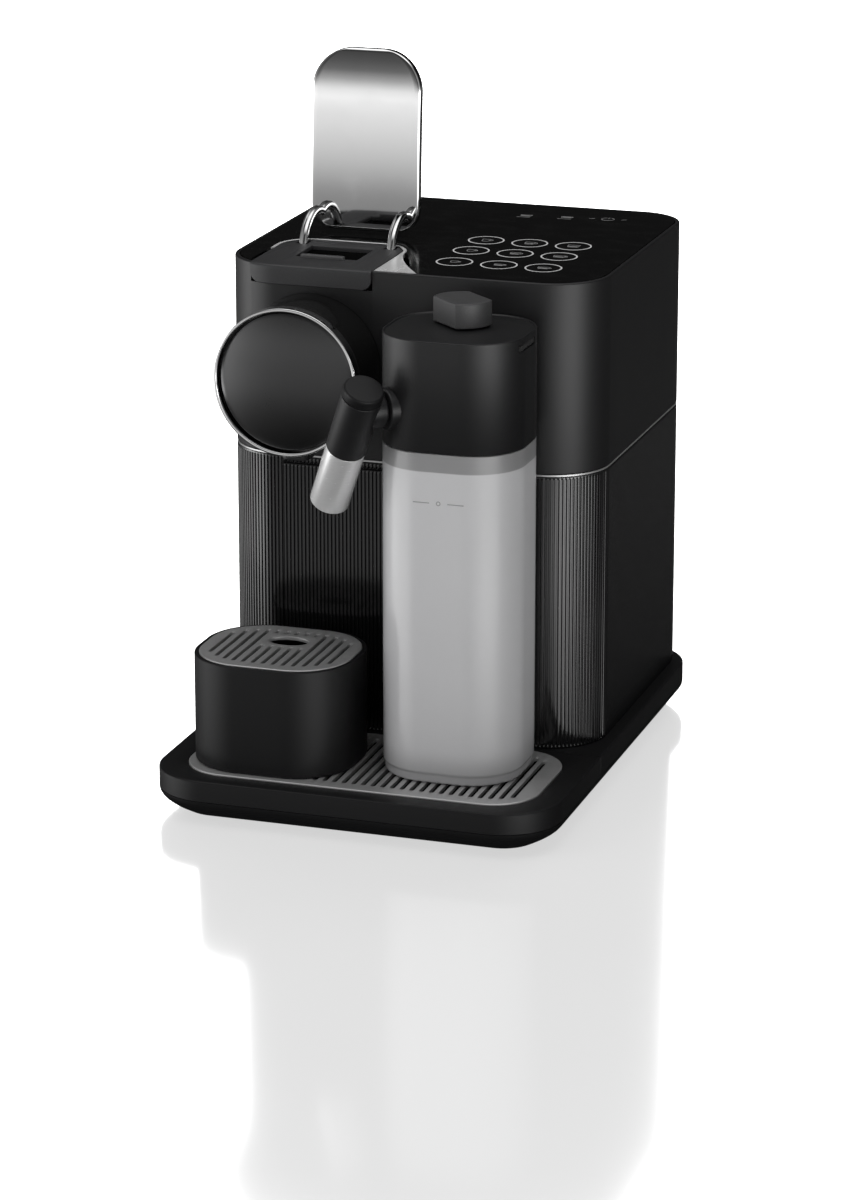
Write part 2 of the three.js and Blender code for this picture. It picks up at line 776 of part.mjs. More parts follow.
function addBrewUnit() {
  for (const [side, sign] of [
    ["left", -1],
    ["right", 1],
  ]) {
    const inner = headCentreX + sign * frameInner;
    const outer = headCentreX + sign * (frameInner + frameThickness);
    const x0 = Math.min(inner, outer);
    const x1 = Math.max(inner, outer);
    const plate = cut(
      block(x0, x1, cageMouth - 12, pivotY + 24, pivotZ - frameHeight, pivotZ + shaftRadius + 1),
      rod([x0 - 1, pivotY, pivotZ], [x1 + 1, pivotY, pivotZ], shaftRadius + gap, 20),
      rod([x0 - 1, pivotY, gearZ], [x1 + 1, pivotY, gearZ], shaftRadius + gap, 20),
    );
    add(`brew_frame_${side}`, "steel", plate);
  }

  const centre = (y) => [headCentreX, y, drumHeight];
  const cage = cut(
    rod(centre(cageMouth), centre(cageMouth - cageDepth), cageRadius, 28),
    rod(centre(cageMouth + 1), centre(cageMouth - cageDepth + 4), cageRadius - cageWall, 28),
    rod(centre(cageMouth), centre(cageMouth - cageDepth - 1), 3, 12),
  );
  add("capsule_cage", "aluminium", cage);

  const chuteHalf = capsuleSlotWidth / 2;
  const slotY = bodyFront + capsuleSlotSetback;
  const chuteTop = bodyTop + gap - headThickness - gap;
  const chute = cut(
    block(
      headCentreX - chuteHalf - chuteWall,
      headCentreX + chuteHalf + chuteWall,
      slotY - chuteWall,
      slotY + capsuleSlotDepth + chuteWall,
      chuteTop - chuteDepth,
      chuteTop,
    ),
    block(
      headCentreX - chuteHalf,
      headCentreX + chuteHalf,
      slotY,
      slotY + capsuleSlotDepth,
      0,
      chuteTop + 1,
    ),
  );
  add("capsule_chute", "glossBlack", chute);

  const yokeY = pivotY + pinDrop;
  const yokeHalf = crankPin + yokeSlack;
  const yokeTop = gearZ - pinDrop + 7;
  const yokeFoot = gearZ - crankRadius - 8;
  const yoke = cut(
    block(
      headCentreX - yokeHalfWidth,
      headCentreX + yokeHalfWidth,
      yokeY - yokeHalf - yokeWall,
      yokeY + yokeHalf + yokeWall,
      Math.min(yokeFoot, drumHeight - rodRadius),
      yokeTop,
    ),
    block(
      headCentreX - yokeHalfWidth - 1,
      headCentreX + yokeHalfWidth + 1,
      yokeY - yokeHalf,
      yokeY + yokeHalf,
      gearZ - crankRadius - 3.2,
      yokeTop - 2,
    ),
  );
  const piston = join(
    rod(centre(pistonBack), centre(pistonBack + pistonThickness), pistonRadius, 28),
    rod(centre(pistonBack + 1), centre(yokeY - yokeHalf - 1), rodRadius, 16),
    yoke,
  );
  add("brew_piston", "brass", piston);

  const wheel = gearWheel(gearX, gearX + gearThickness, pivotY, gearZ, 0.5, shaftRadius + gap);
  const crank = sideExtrusion(
    [
      [pivotY - 4, gearZ - shaftRadius - 1.2],
      [pivotY + 4, gearZ - shaftRadius - 1.2],
      [pivotY + 4, gearZ - crankRadius - 2.5],
      [pivotY - 4, gearZ - crankRadius - 2.5],
    ],
    gearX,
    gearX + gearThickness,
  );
  const pin = rod(
    [headCentreX - yokeHalfWidth - 1, pivotY, gearZ - crankRadius],
    [gearX + 1, pivotY, gearZ - crankRadius],
    crankPin,
    14,
  );
  const turned = join(crank, pin)
    .translate([0, -pivotY, -gearZ])
    .rotate([45, 0, 0])
    .translate([0, pivotY, gearZ]);
  add("drive_gear", "brass", join(wheel, turned));

  const axleHalf = frameInner + frameThickness;
  const axle = rod(
    [headCentreX - axleHalf, pivotY, gearZ],
    [headCentreX + axleHalf, pivotY, gearZ],
    shaftRadius,
    20,
  );
  add("gear_axle", "steel", axle);
}

// ---------------------------------------------------------------- lever, standing open
function addLever() {
  const faceY = pivotY + leverFaceOffset;
  const plateFoot = pivotZ + leverFoot;
  const flat = outline(
    headCentreX - leverWidth / 2,
    headCentreX + leverWidth / 2,
    plateFoot,
    plateFoot + leverLength,
    leverCorner,
  );
  const plate = prism(flat, 0, leverThickness)
    .rotate([90, 0, 0])
    .translate([0, faceY + leverThickness, 0]);
  add("lever_plate", "chrome", plate);

  const shaftHalf = armSpacing / 2 + armWidth / 2;
  const endAngle = Math.acos((leverFaceOffset - gap) / armRadius);
  const startAngle = Math.PI * 1.22;
  const steps = 16;
  const inner = armRadius - armThickness / 2;
  const outer = armRadius + armThickness / 2;
  const arc = (radius, from, to) =>
    Array.from({ length: steps + 1 }, (_, i) => {
      const a = from + ((to - from) * i) / steps;
      return [pivotY + radius * Math.cos(a), pivotZ + radius * Math.sin(a)];
    });
  const inFrontOfPlate = block(-200, 200, -200, faceY - gap, 0, 400);
  for (const [side, sign] of [
    ["left", -1],
    ["right", 1],
  ]) {
    const x = headCentreX + (sign * armSpacing) / 2;
    const x0 = x - armWidth / 2;
    const x1 = x + armWidth / 2;
    const hook = sideExtrusion(
      [...arc(outer, endAngle - 0.3, startAngle), ...arc(inner, startAngle, endAngle - 0.3)],
      x0,
      x1,
    );
    const webAngle = startAngle - 0.12;
    const web = block(x0, x1, -outer + 1, 0, -1.8, 1.8)
      .rotate([((webAngle - Math.PI) * 180) / Math.PI, 0, 0])
      .translate([0, pivotY, pivotZ]);
    const hub = rod([x0, pivotY, pivotZ], [x1, pivotY, pivotZ], hubRadius, 20);
    const bore = rod([x0 - 1, pivotY, pivotZ], [x1 + 1, pivotY, pivotZ], shaftRadius + gap, 20);
    const arm = cut(join(hook.intersect(inFrontOfPlate), web, hub), bore);
    add(`lever_arm_${side}`, "chrome", arm);
  }

  const shaft = rod(
    [headCentreX - shaftHalf, pivotY, pivotZ],
    [headCentreX + shaftHalf, pivotY, pivotZ],
    shaftRadius,
    20,
  );
  add("lever_shaft", "steel", shaft);
  const sector = gearWheel(gearX, gearX + gearThickness, pivotY, pivotZ, 0, shaftRadius + gap);
  const rim = 2 * gearRadius;
  const spread = [168, 195, 225, 255, 282].map((turn) => [
    pivotY + rim * Math.cos(turn * degrees),
    pivotZ + rim * Math.sin(turn * degrees),
  ]);
  const fan = sideExtrusion([[pivotY, pivotZ], ...spread], gearX, gearX + gearThickness);
  const toothed = sector.intersect(fan);
  const collar = cut(
    rod([gearX, pivotY, pivotZ], [gearX + gearThickness, pivotY, pivotZ], hubRadius, 20),
    rod([gearX - 1, pivotY, pivotZ], [gearX + gearThickness + 1, pivotY, pivotZ], shaftRadius + gap, 20),
  );
  add("lever_gear", "brass", join(toothed, collar));
}

// ---------------------------------------------------------------- used-capsule container
function addBin() {
  const foot = baseHeight + gap;
  const top = waistHeight - gap - binTopClearance - gap;
  const half = binWidth / 2;
  const back = bodyFront + binDepth;
  const panelHalf = binFrontWidth / 2;
  const front = block(-panelHalf, panelHalf, bodyFront, bodyFront + wall, foot, top);
  const bin = block(-half, half, bodyFront + wall - 0.5, back, foot - 1, top - 12);
  const hollow = block(-half + 2, half - 2, bodyFront + wall + 2, back - 2, foot + 2, top + 9);
  add("used_capsule_container", "glossBlack", cut(join(front, bin), hollow));
}

// ---------------------------------------------------------------- milk unit
const milkSpan = {
  x0: milkCentreX - milkWidth / 2,
  x1: milkCentreX + milkWidth / 2,
  y0: bodyFront - milkStandoff - milkDepth,
  y1: bodyFront - milkStandoff,
};
const milkTop = standLevel + milkHeight;
const lidFoot = milkTop + gap;
const lidTop = lidFoot + lidHeight;
const connectorHeight = lidFoot + connectorRise;
const spoutNeckHeight = lidFoot + spoutNeckRise;

const milkOutline = (inset) =>
  outline(
    milkSpan.x0 + inset,
    milkSpan.x1 - inset,
    milkSpan.y0 + inset,
    milkSpan.y1 - inset,
    milkCorner - inset,
  );

const neckX = -Math.cos(spoutAzimuth * degrees);
const neckY = -Math.sin(spoutAzimuth * degrees);
const cornerX = milkSpan.x0 + milkCorner + milkCorner * neckX;
const cornerY = milkSpan.y0 + milkCorner + milkCorner * neckY;
const alongNeck = (t) => [cornerX + t * neckX, cornerY + t * neckY, spoutNeckHeight];
const leanX = -neckY * Math.sin(spoutTilt * degrees);
const leanY = neckX * Math.sin(spoutTilt * degrees);
const leanZ = Math.cos(spoutTilt * degrees);
const alongSpout = (s) => {
  const [x, y, z] = alongNeck(spoutOffset);
  return [x + s * leanX, y + s * leanY, z + s * leanZ];
};

function addMilkUnit() {
  const softFoot = 2;
  const vessel = cut(
    loft([
      [milkOutline(softFoot), standLevel],
      [milkOutline(0), standLevel + softFoot],
      [milkOutline(0), milkTop],
    ]),
    prism(milkOutline(milkWall), standLevel + milkWall + 1, milkTop + 1),
  );
  add("milk_container", "frosted", vessel);

  const plugInset = milkWall + gap + sealThickness;
  const plug = prism(milkOutline(plugInset), milkTop - lidPlug, lidFoot + 1);
  const hollow = prism(milkOutline(milkWall + 6), 0, lidTop - lidRoof - 14);
  const neckStub = rod(alongNeck(-6), alongNeck(neckGap), neckRadius, 20);
  const releaseZ = lidTop - releaseDrop;
  const releaseY = (milkSpan.y0 + milkSpan.y1) / 2 - 4;
  const releaseRoom = block(
    milkSpan.x1 - 6 - releaseTravel - gap,
    milkSpan.x1 + 1,
    releaseY - releaseWidth / 2 - gap,
    releaseY + releaseWidth / 2 + gap,
    releaseZ - releaseHeight - gap,
    releaseZ + gap,
  );
  const port = rod(
    [milkCentreX, milkSpan.y1 - 9, connectorHeight],
    [milkCentreX, milkSpan.y1 + 1, connectorHeight],
    6,
    20,
  );
  const pipeHole = rod(
    [milkCentreX, milkMiddle, 0],
    [milkCentreX, milkMiddle, lidTop - lidRoof - 6],
    suctionRadius + gap,
    14,
  );
  const softTop = 0.8;
  const lid = cut(
    join(
      loft([
        [milkOutline(0), lidFoot],
        [milkOutline(0), lidTop - softTop],
        [milkOutline(softTop), lidTop],
      ]),
      plug,
      neckStub,
    ),
    hollow,
    releaseRoom,
    port,
    pipeHole,
  );
  add("milk_lid", "satinBlack", lid);

  const sealFoot = milkTop - lidPlug + 1;
  const seal = cut(
    prism(milkOutline(milkWall + gap), sealFoot, sealFoot + 3),
    prism(milkOutline(plugInset - gap), 0, milkTop),
  );
  add("lid_seal", "rubber", seal);

  const button = block(
    milkSpan.x1 - 6,
    milkSpan.x1 - 0.4,
    releaseY - releaseWidth / 2,
    releaseY + releaseWidth / 2,
    releaseZ - releaseHeight,
    releaseZ,
  );
  add("lid_release_button", "rubber", button);

  const knobY = milkSpan.y1 - knobSetback;
  const knob = rod([0, 0, lidTop + gap], [0, 0, lidTop + gap + knobHeight], knobRadius, 32)
    .intersect(block(-knobFlat, knobFlat, -90, 90, lidTop, lidTop + 99))
    .rotate([0, 0, knobTurn])
    .translate([milkCentreX - 1.5, knobY, 0]);
  add("froth_knob", "satinBlack", knob);

  const pipe = rod(
    [milkCentreX, milkMiddle, standLevel + milkWall + 4],
    [milkCentreX, milkMiddle, lidTop - lidRoof - 8],
    suctionRadius,
    14,
  );
  add("suction_pipe", "whitePlastic", pipe);
  addSpout();
}

const milkMiddle = (milkSpan.y0 + milkSpan.y1) / 2;

function addSpout() {
  const bodyFoot = spoutAbove - spoutCapHeight - gap - spoutBodyLength;
  const neck = rod(alongNeck(neckGap + 1), alongNeck(spoutOffset), neckRadius - 1, 20);
  const bodyHead = bodyFoot + spoutBodyLength;
  const tube = rod(alongSpout(bodyFoot), alongSpout(bodyHead), spoutRadius, 24);
  const bore = rod(alongSpout(bodyFoot - 1), alongSpout(0), spoutBore, 16);
  add("spout_body", "satinBlack", cut(join(tube, neck), bore));

  const sleeveTop = bodyFoot - gap;
  const sleeveFoot = sleeveTop - spoutSleeveLength;
  const sleeve = cut(
    rod(alongSpout(sleeveFoot), alongSpout(sleeveTop), spoutRadius - 0.2, 24),
    rod(alongSpout(sleeveFoot - 1), alongSpout(sleeveTop + 1), spoutRadius - 1.4, 24),
  );
  add("spout_sleeve", "steel", sleeve);
  const cap = rod(
    alongSpout(spoutAbove - spoutCapHeight),
    alongSpout(spoutAbove),
    spoutRadius,
    24,
    spoutRadius - 0.6,
  );
  add("spout_cap", "glossBlack", cap);
}

// ---------------------------------------------------------------- water tank
const tankSpan = {
  y0: bodyBack + rearCoverThickness + 3 * gap,
  y1: backY,
};
const tankMiddle = (tankSpan.y0 + tankSpan.y1) / 2;

function tankOutline(inset) {
  return outline(
    -tankHalfWidth + inset,
    tankHalfWidth - inset,
    tankSpan.y0 + inset,
    tankSpan.y1 - inset,
    4,
    tankCorner - inset,
  );
}

function addTank() {
  const floor = tankFloor;
  const onAxis = (z) => [0, tankMiddle, z];
  const vessel = cut(
    prism(tankOutline(0), floor, tankTop),
    prism(tankOutline(tankWall), floor + tankWall + 1, tankTop + 1),
    rod(onAxis(floor - 1), onAxis(floor + 9), valveRadius - 3 + gap, 20),
  );
  add("water_tank", "smoked", vessel);

  const valve = join(
    rod(onAxis(floor - 6), onAxis(floor - gap), valveRadius, 20),
    rod(onAxis(floor - 2), onAxis(floor + 6), valveRadius - 3, 20),
  );
  add("tank_valve", "whitePlastic", valve);

  const socket = cut(
    rod(onAxis(baseHeight - socketDepth + gap), onAxis(baseHeight), socketRadius, 24),
    rod(onAxis(floor - 6 - slip), onAxis(baseHeight + 9), valveRadius + slip, 24),
  );
  add("tank_socket", "whitePlastic", socket);

  const lidBottom = tankTop + gap;
  const lid = join(
    prism(tankOutline(0), lidBottom, lidBottom + tankLidHeight),
    prism(tankOutline(tankWall + 1.2), lidBottom - tankLidSkirt, lidBottom + 1),
  );
  add("tank_lid", "satinBlack", lid);
}

// ---------------------------------------------------------------- pump, heater and electrics
function glandBlock(grow, depth, inset) {
  const half = inletWidth / 2 + grow;
  const middle = baseHeight / 2;
  const rise = inletHeight / 2 + grow;
  return block(
    inletX - half,
    inletX + half,
    backY - depth,
    backY - inset,
    middle - rise,
    middle + rise,
  );
}

function addInside() {
  const floor = baseHeight + gap;
  const back = bodyBack - wall - 8;
  const side = bodyWidth / 2 - wall;

  const pumpX = side - 26;
  const pumpY = back - 24;
  const pumpFoot = floor + 10;
  add("pump", "whitePlastic", join(
    block(pumpX - 16, pumpX + 16, pumpY - 15, pumpY + 15, pumpFoot, pumpFoot + 44),
    rod([pumpX, pumpY, pumpFoot + 43], [pumpX, pumpY, pumpFoot + 66], 9, 20),
    rod([pumpX, pumpY, pumpFoot + 65], [pumpX, pumpY, pumpFoot + 76], 3.5, 14),
  ));
  add("pump_mount", "rubber", block(
    pumpX - 18, pumpX + 18, pumpY - 17, pumpY + 17, floor, pumpFoot - gap,
  ));

  const heaterZ = waistHeight + 8;
  const heaterX = side - 42;
  const heaterY = back - 36;
  const heater = cut(
    block(heaterX - 34, heaterX + 24, heaterY - 22, heaterY + 22, heaterZ, heaterZ + 38),
    block(heaterX - 20, heaterX + 10, heaterY - 23, heaterY - 16, heaterZ + 8, heaterZ + 30),
  );
  add("thermoblock", "aluminium", heater);

  const meterX = -side + 34;
  add("flow_meter", "whitePlastic", join(
    rod([meterX, back - 20, floor + 22], [meterX, back - 20, floor + 40], 14, 20),
    rod([meterX, back - 20, floor + 39], [meterX, back - 20, floor + 48], 3.5, 14),
  ));

  const hoseEnd = heaterZ - gap;
  add("water_hose", "rubber", hose(
    [
      [pumpX, pumpY, pumpFoot + 76 + gap],
      [pumpX, pumpY, pumpFoot + 84],
      [pumpX - 4, pumpY - 3, hoseEnd - 16],
      [heaterX + 10, heaterY + 8, hoseEnd - 8],
      [heaterX + 10, heaterY + 8, hoseEnd],
    ],
    3.4,
    22,
  ));

  const boardX = -side + 8;
  add("power_board", "board", block(
    boardX, boardX + 1.8, bodyFront + 40, back - 50, floor + 14, waistHeight - 12,
  ));

  const hole = rod([inletX, backY - 6, baseHeight / 2], [inletX, backY + 1, baseHeight / 2], 4.2, 16);
  add("mains_gland", "rubber", cut(glandBlock(0, inletDepth, gap), hole));

  const inFront = (y) => [milkCentreX, bodyFront + y, connectorHeight];
  const connector = cut(
    rod(inFront(12), inFront(-0.5), connectorRadius, 20),
    rod(inFront(13), inFront(-2), connectorBore, 16),
  );
  add("steam_connector", "whitePlastic", connector);
}

addBase();
addTray();
addCupSupport();
addBody();
addControlPanel();
addHead();
addDrum();
addBrewUnit();
addLever();
addBin();
addMilkUnit();
addTank();
addInside();

export default machine;
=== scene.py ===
"""Pod coffee machine with a clip-on milk unit: its visual model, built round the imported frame.

Places and lengths are in metres. +X is the right-hand side seen from the front, -Y is the front and
the floor is Z = 0. Each shape is a grid of points worked out from a formula that its docstring gives.
"""

import math

import bpy
import numpy as np
from mathutils import Matrix, Vector


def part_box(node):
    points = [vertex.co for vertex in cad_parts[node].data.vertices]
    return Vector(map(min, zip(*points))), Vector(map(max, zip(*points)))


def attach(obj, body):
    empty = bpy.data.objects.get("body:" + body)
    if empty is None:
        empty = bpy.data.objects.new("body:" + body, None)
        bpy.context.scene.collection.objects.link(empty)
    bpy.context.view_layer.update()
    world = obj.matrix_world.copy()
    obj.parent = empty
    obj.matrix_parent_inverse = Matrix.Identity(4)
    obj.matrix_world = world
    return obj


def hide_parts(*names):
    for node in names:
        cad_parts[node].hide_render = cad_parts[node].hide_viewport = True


bl_info = {
    "name": "Pod Coffee Machine",
    "version": (1, 0, 0),
    "blender": (4, 5, 0),
    "location": "View3D > Sidebar > Coffee Machine",
    "description": "Builds a pod coffee machine with a milk unit round its packed frame",
    "category": "Add Mesh",
}

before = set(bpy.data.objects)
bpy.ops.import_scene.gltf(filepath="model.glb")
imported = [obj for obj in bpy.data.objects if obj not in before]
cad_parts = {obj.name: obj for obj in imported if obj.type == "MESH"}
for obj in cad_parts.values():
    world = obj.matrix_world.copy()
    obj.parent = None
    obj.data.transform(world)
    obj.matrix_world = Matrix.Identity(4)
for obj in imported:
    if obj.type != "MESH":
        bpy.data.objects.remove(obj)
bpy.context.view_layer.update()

MM = 0.001
TURN = 2 * math.pi


# ------------------------------------------------------------------------------ sizes and colours
def length(name, description, millimetres, least):
    """Property that holds a length, given in millimetres."""
    return bpy.props.FloatProperty(
        name=name,
        description=description,
        default=millimetres * MM,
        min=least * MM,
        unit="LENGTH",
    )


def colour(name, description, *parts):
    """Property that holds a colour."""
    return bpy.props.FloatVectorProperty(
        name=name,
        description=description,
        default=parts,
        size=3,
        subtype="COLOR",
    )


class ShellSizes(bpy.types.PropertyGroup):
    """Sizes of the body's shells."""

    rib_pitch: length(
        "Rib pitch",
        "Distance from one upright rib of the lower shell to the next",
        1.95,
        0.5,
    )
    rib_depth: length(
        "Rib depth",
        "Depth of the grooves between the ribs",
        1.1,
        0.1,
    )
    corner: length(
        "Front corner",
        "Radius of the body's front corners",
        30,
        5,
    )
    rear_corner: length(
        "Rear corner",
        "Radius of the body's rear corners",
        25,
        5,
    )
    rim: length(
        "Top rim",
        "Width of the housing's rim round the touch panel",
        2.2,
        0.5,
    )


class GrilleSizes(bpy.types.PropertyGroup):
    """Sizes of the two steel grilles."""

    tray_pitch: length(
        "Tray slot pitch",
        "Distance from one slot of the drip grid to the next",
        4.9,
        2,
    )
    tray_slot: length(
        "Tray slot width",
        "Width of a slot in the drip grid",
        2.5,
        0.5,
    )
    cup_pitch: length(
        "Cup slot pitch",
        "Distance from one slot of the cup support's grid to the next",
        5.1,
        2,
    )
    cup_slot: length(
        "Cup slot width",
        "Width of a slot in the cup support's grid",
        2.1,
        0.5,
    )


class KeySizes(bpy.types.PropertyGroup):
    """Sizes of the touch keys printed on the panel."""

    ring: length(
        "Key ring",
        "Diameter of the ring round a touch key",
        17.6,
        5,
    )
    line: length(
        "Ring line",
        "Width of the ring's line",
        0.75,
        0.1,
    )
    symbol: length(
        "Symbol line",
        "Width of the lines that the small symbols are drawn with",
        0.32,
        0.1,
    )


class Finishes(bpy.types.PropertyGroup):
    """Colours of the main finishes."""

    satin_black: colour(
        "Satin black",
        "Smooth moulded housing, milk lid and base",
        0.008, 0.008, 0.0085,
    )
    ribbed_black: colour(
        "Ribbed black",
        "Glossy ribbed lower shell",
        0.004, 0.004, 0.0043,
    )
    head_grey: colour(
        "Head grey",
        "Cover of the capsule head",
        0.02, 0.02, 0.021,
    )
    frosted: colour(
        "Frosted plastic",
        "Milk container",
        0.76, 0.76, 0.77,
    )
    steel: colour(
        "Steel",
        "Brushed steel of the grids and the waist line",
        0.56, 0.56, 0.56,
    )


class StudioSettings(bpy.types.PropertyGroup):
    """Camera and light."""

    azimuth: bpy.props.FloatProperty(
        name="Azimuth",
        description="How far round to the right of the front the camera stands",
        default=math.radians(18.1),
        subtype="ANGLE",
    )
    elevation: bpy.props.FloatProperty(
        name="Elevation",
        description="How far the camera looks down",
        default=math.radians(15.5),
        subtype="ANGLE",
    )
    distance: bpy.props.FloatProperty(
        name="Distance",
        description="Camera to the point that it looks at",
        default=2.1,
        min=0.5,
        unit="LENGTH",
    )
    lens: bpy.props.FloatProperty(
        name="Lens",
        description="Focal length on a 36 mm frame",
        default=125.3,
        min=20,
    )
    rise: bpy.props.FloatProperty(
        name="Frame shift",
        description="Share of the frame's height that the picture is shifted by",
        default=-0.1,
    )
    key_power: bpy.props.FloatProperty(
        name="Key light",
        description="Power of the left softbox in watts; the front one has less",
        default=7.0,
        min=0,
    )
    top_power: bpy.props.FloatProperty(
        name="Top light",
        description="Power of the overhead softbox in watts",
        default=8.0,
        min=0,
    )


# ------------------------------------------------------------------------------ surfaces
class Surface:
    """Points, quads and flat end faces of one or more shells; adding two puts them in one mesh."""

    def __init__(self, points, quads, ends=()):
        self.points = points
        self.quads = quads
        self.ends = list(ends)

    def __add__(self, other):
        shift = len(self.points)
        return Surface(
            np.concatenate([self.points, other.points]),
            np.concatenate([self.quads, other.quads + shift]),
            self.ends + [end + shift for end in other.ends],
        )

    def turned(self, matrix):
        """The surface carried by a 4 by 4 matrix."""
        m = np.array(matrix)
        return Surface(self.points @ m[:3, :3].T + m[:3, 3], self.quads, self.ends)


def skin(points, around=True, ends=(False, False), tube=False):
    """Surface through a grid of points [rows, columns, 3]: each point is joined to the next one along
    its row and up its column. around closes the rows into loops, tube joins the last row to the first,
    and ends shuts the first or last row. A shell whose volume comes out negative is turned round."""
    rows, columns = points.shape[:2]
    index = np.arange(rows * columns).reshape(rows, columns)
    if tube:
        index = np.concatenate([index, index[:1]])
    here = index if around else index[:, :-1]
    there = np.roll(index, -1, axis=1) if around else index[:, 1:]
    quads = np.stack([here[:-1], there[:-1], there[1:], here[1:]], -1).reshape(-1, 4)
    shut = [index[0, ::-1]] if ends[0] else []
    shut += [index[-1]] if ends[1] else []
    points = points.reshape(-1, 3)
    a, b, c, d = (points[quads[:, i]] - points[0] for i in range(4))
    volume = np.sum(np.cross(a, b) * c) + np.sum(np.cross(a, c) * d)
    for end in shut:
        e = points[end] - points[0]
        volume += np.sum(np.cross(e[0], e[1:-1]) * e[2:])
    if volume < 0:
        quads = quads[:, ::-1]
        shut = [end[::-1] for end in shut]
    return Surface(points, quads, shut)


def soft(corners, radius, steps=4):
    """Profile through corner points with each inner corner swapped for a parabola that leaves and meets
    the straight stretches at `radius` from it, or half-way along a shorter stretch."""
    p = np.asarray(corners, float)
    r = np.broadcast_to(np.asarray(radius, float), len(p) - 2)[:, None]
    back = p[:-2] - p[1:-1]
    ahead = p[2:] - p[1:-1]
    back_length = np.linalg.norm(back, axis=1, keepdims=True)
    ahead_length = np.linalg.norm(ahead, axis=1, keepdims=True)
    a = p[1:-1] + back / back_length * np.minimum(r, back_length * 0.49)
    b = p[1:-1] + ahead / ahead_length * np.minimum(r, ahead_length * 0.49)
    t = np.linspace(0, 1, steps + 1)[None, :, None]
    curve = (1 - t) ** 2 * a[:, None] + 2 * t * (1 - t) * p[1:-1, None] + t**2 * b[:, None]
    return np.concatenate([p[:1], curve.reshape(-1, p.shape[1]), p[-1:]])


class Outline:
    """Rectangle with round corners, seen from above. A place on it is the distance travelled from the
    middle of the front side, counter-clockwise: straight sides alternate with quarter circles."""

    def __init__(self, x, y, front, rear=None):
        rear = front if rear is None else rear
        (x0, x1), (y0, y1) = x, y
        self.x = x
        self.y = y
        self.front = front
        self.rear = rear
        middle = (x0 + x1) / 2
        self.centres = np.array([
            [x1 - front, y0 + front],
            [x1 - rear, y1 - rear],
            [x0 + rear, y1 - rear],
            [x0 + front, y0 + front],
        ])
        self.radii = np.array([front, rear, rear, front])
        self.starts = np.array([
            [middle, y0],
            [x1, y0 + front],
            [x1 - rear, y1],
            [x0, y1 - rear],
            [x0 + front, y0],
        ])
        self.headings = np.array([[1, 0], [0, 1], [-1, 0], [0, -1], [1, 0]], float)
        half = (x1 - x0) / 2
        side = y1 - y0 - front - rear
        arcs = self.radii * math.pi / 2
        right = [half - front, arcs[0], side, arcs[1]]
        left = [arcs[2], side, arcs[3], half - front]
        self.marks = np.concatenate([[0], np.cumsum([*right, 2 * (half - rear), *left])])
        self.length = self.marks[-1]

    def at(self, places):
        """Points and outward normals at distances along the outline."""
        places = np.mod(places, self.length)
        stretch = np.clip(np.searchsorted(self.marks, places, side="right") - 1, 0, 8)
        along = (places - self.marks[stretch])[:, None]
        k = stretch // 2
        corner = np.minimum(k, 3)
        angle = (corner - 1) * math.pi / 2 + along[:, 0] / self.radii[corner]
        round_normal = np.stack([np.cos(angle), np.sin(angle)], -1)
        on_arc = (stretch % 2 == 1)[:, None]
        heading = self.headings[k]
        side_normal = np.stack([heading[:, 1], -heading[:, 0]], -1)
        points = np.where(
            on_arc,
            self.centres[corner] + self.radii[corner][:, None] * round_normal,
            self.starts[k] + heading * along,
        )
        return points, np.where(on_arc, round_normal, side_normal)

    def places(self, corner_steps=14, side_steps=2, extra=()):
        """Distances round the outline, close together on the corners and far apart on the sides."""
        spans = [
            np.linspace(self.marks[i], self.marks[i + 1], (corner_steps if i % 2 else side_steps) + 1)[:-1]
            for i in range(9)
        ]
        return np.unique(np.round(np.concatenate([*spans, np.asarray(extra, float)]), 9))

    def reach(self, x):
        """Lowest and highest y of the outline at x: a side, or where x crosses a corner's circle."""
        x = np.clip(x, self.x[0], self.x[1])

        def bulge(radius):
            into = np.maximum(0, np.maximum(self.x[0] + radius - x, x - self.x[1] + radius))
            return radius - np.sqrt(np.maximum(radius**2 - into**2, 0))

        return self.y[0] + bulge(self.front), self.y[1] - bulge(self.rear)

    def grown(self, by):
        """The outline moved outwards."""
        x = (self.x[0] - by, self.x[1] + by)
        y = (self.y[0] - by, self.y[1] + by)
        return Outline(x, y, self.front + by, self.rear + by)


def loop(outline, inset, height, places=None, flat=None):
    """Points round an outline moved inwards by the inset along its normals. flat is "front" or "rear" for
    a side that stays where it is, because the outline is cut off there."""
    points, normals = outline.at(outline.places() if places is None else places)
    if flat == "rear":
        normals[points[:, 1] > outline.y[1] - outline.rear, 1] = 0
    if flat == "front":
        normals[points[:, 1] < outline.y[0] + outline.front, 1] = 0
    moved = points - inset * normals
    if flat:
        moved[:, 0] = np.clip(moved[:, 0], outline.x[0] + inset, outline.x[1] - inset)
    return np.column_stack([moved, np.full(len(points), height)])


def loft(outline, profile, places=None, ends=(True, True), tube=False, flat=None):
    """Walls over an outline: each profile step (inset, height) is one loop of it."""
    rows = [loop(outline, inset, height, places, flat) for inset, height in profile]
    return skin(np.stack(rows), True, ends, tube)


def circle_loop(around, centre, radius, height):
    """Circle with a point in the direction of each point of another loop, seen from the centre."""
    out = around[:, :2] - np.asarray(centre)
    out /= np.linalg.norm(out, axis=1, keepdims=True)
    return np.column_stack([np.asarray(centre) + radius * out, np.full(len(around), height)])


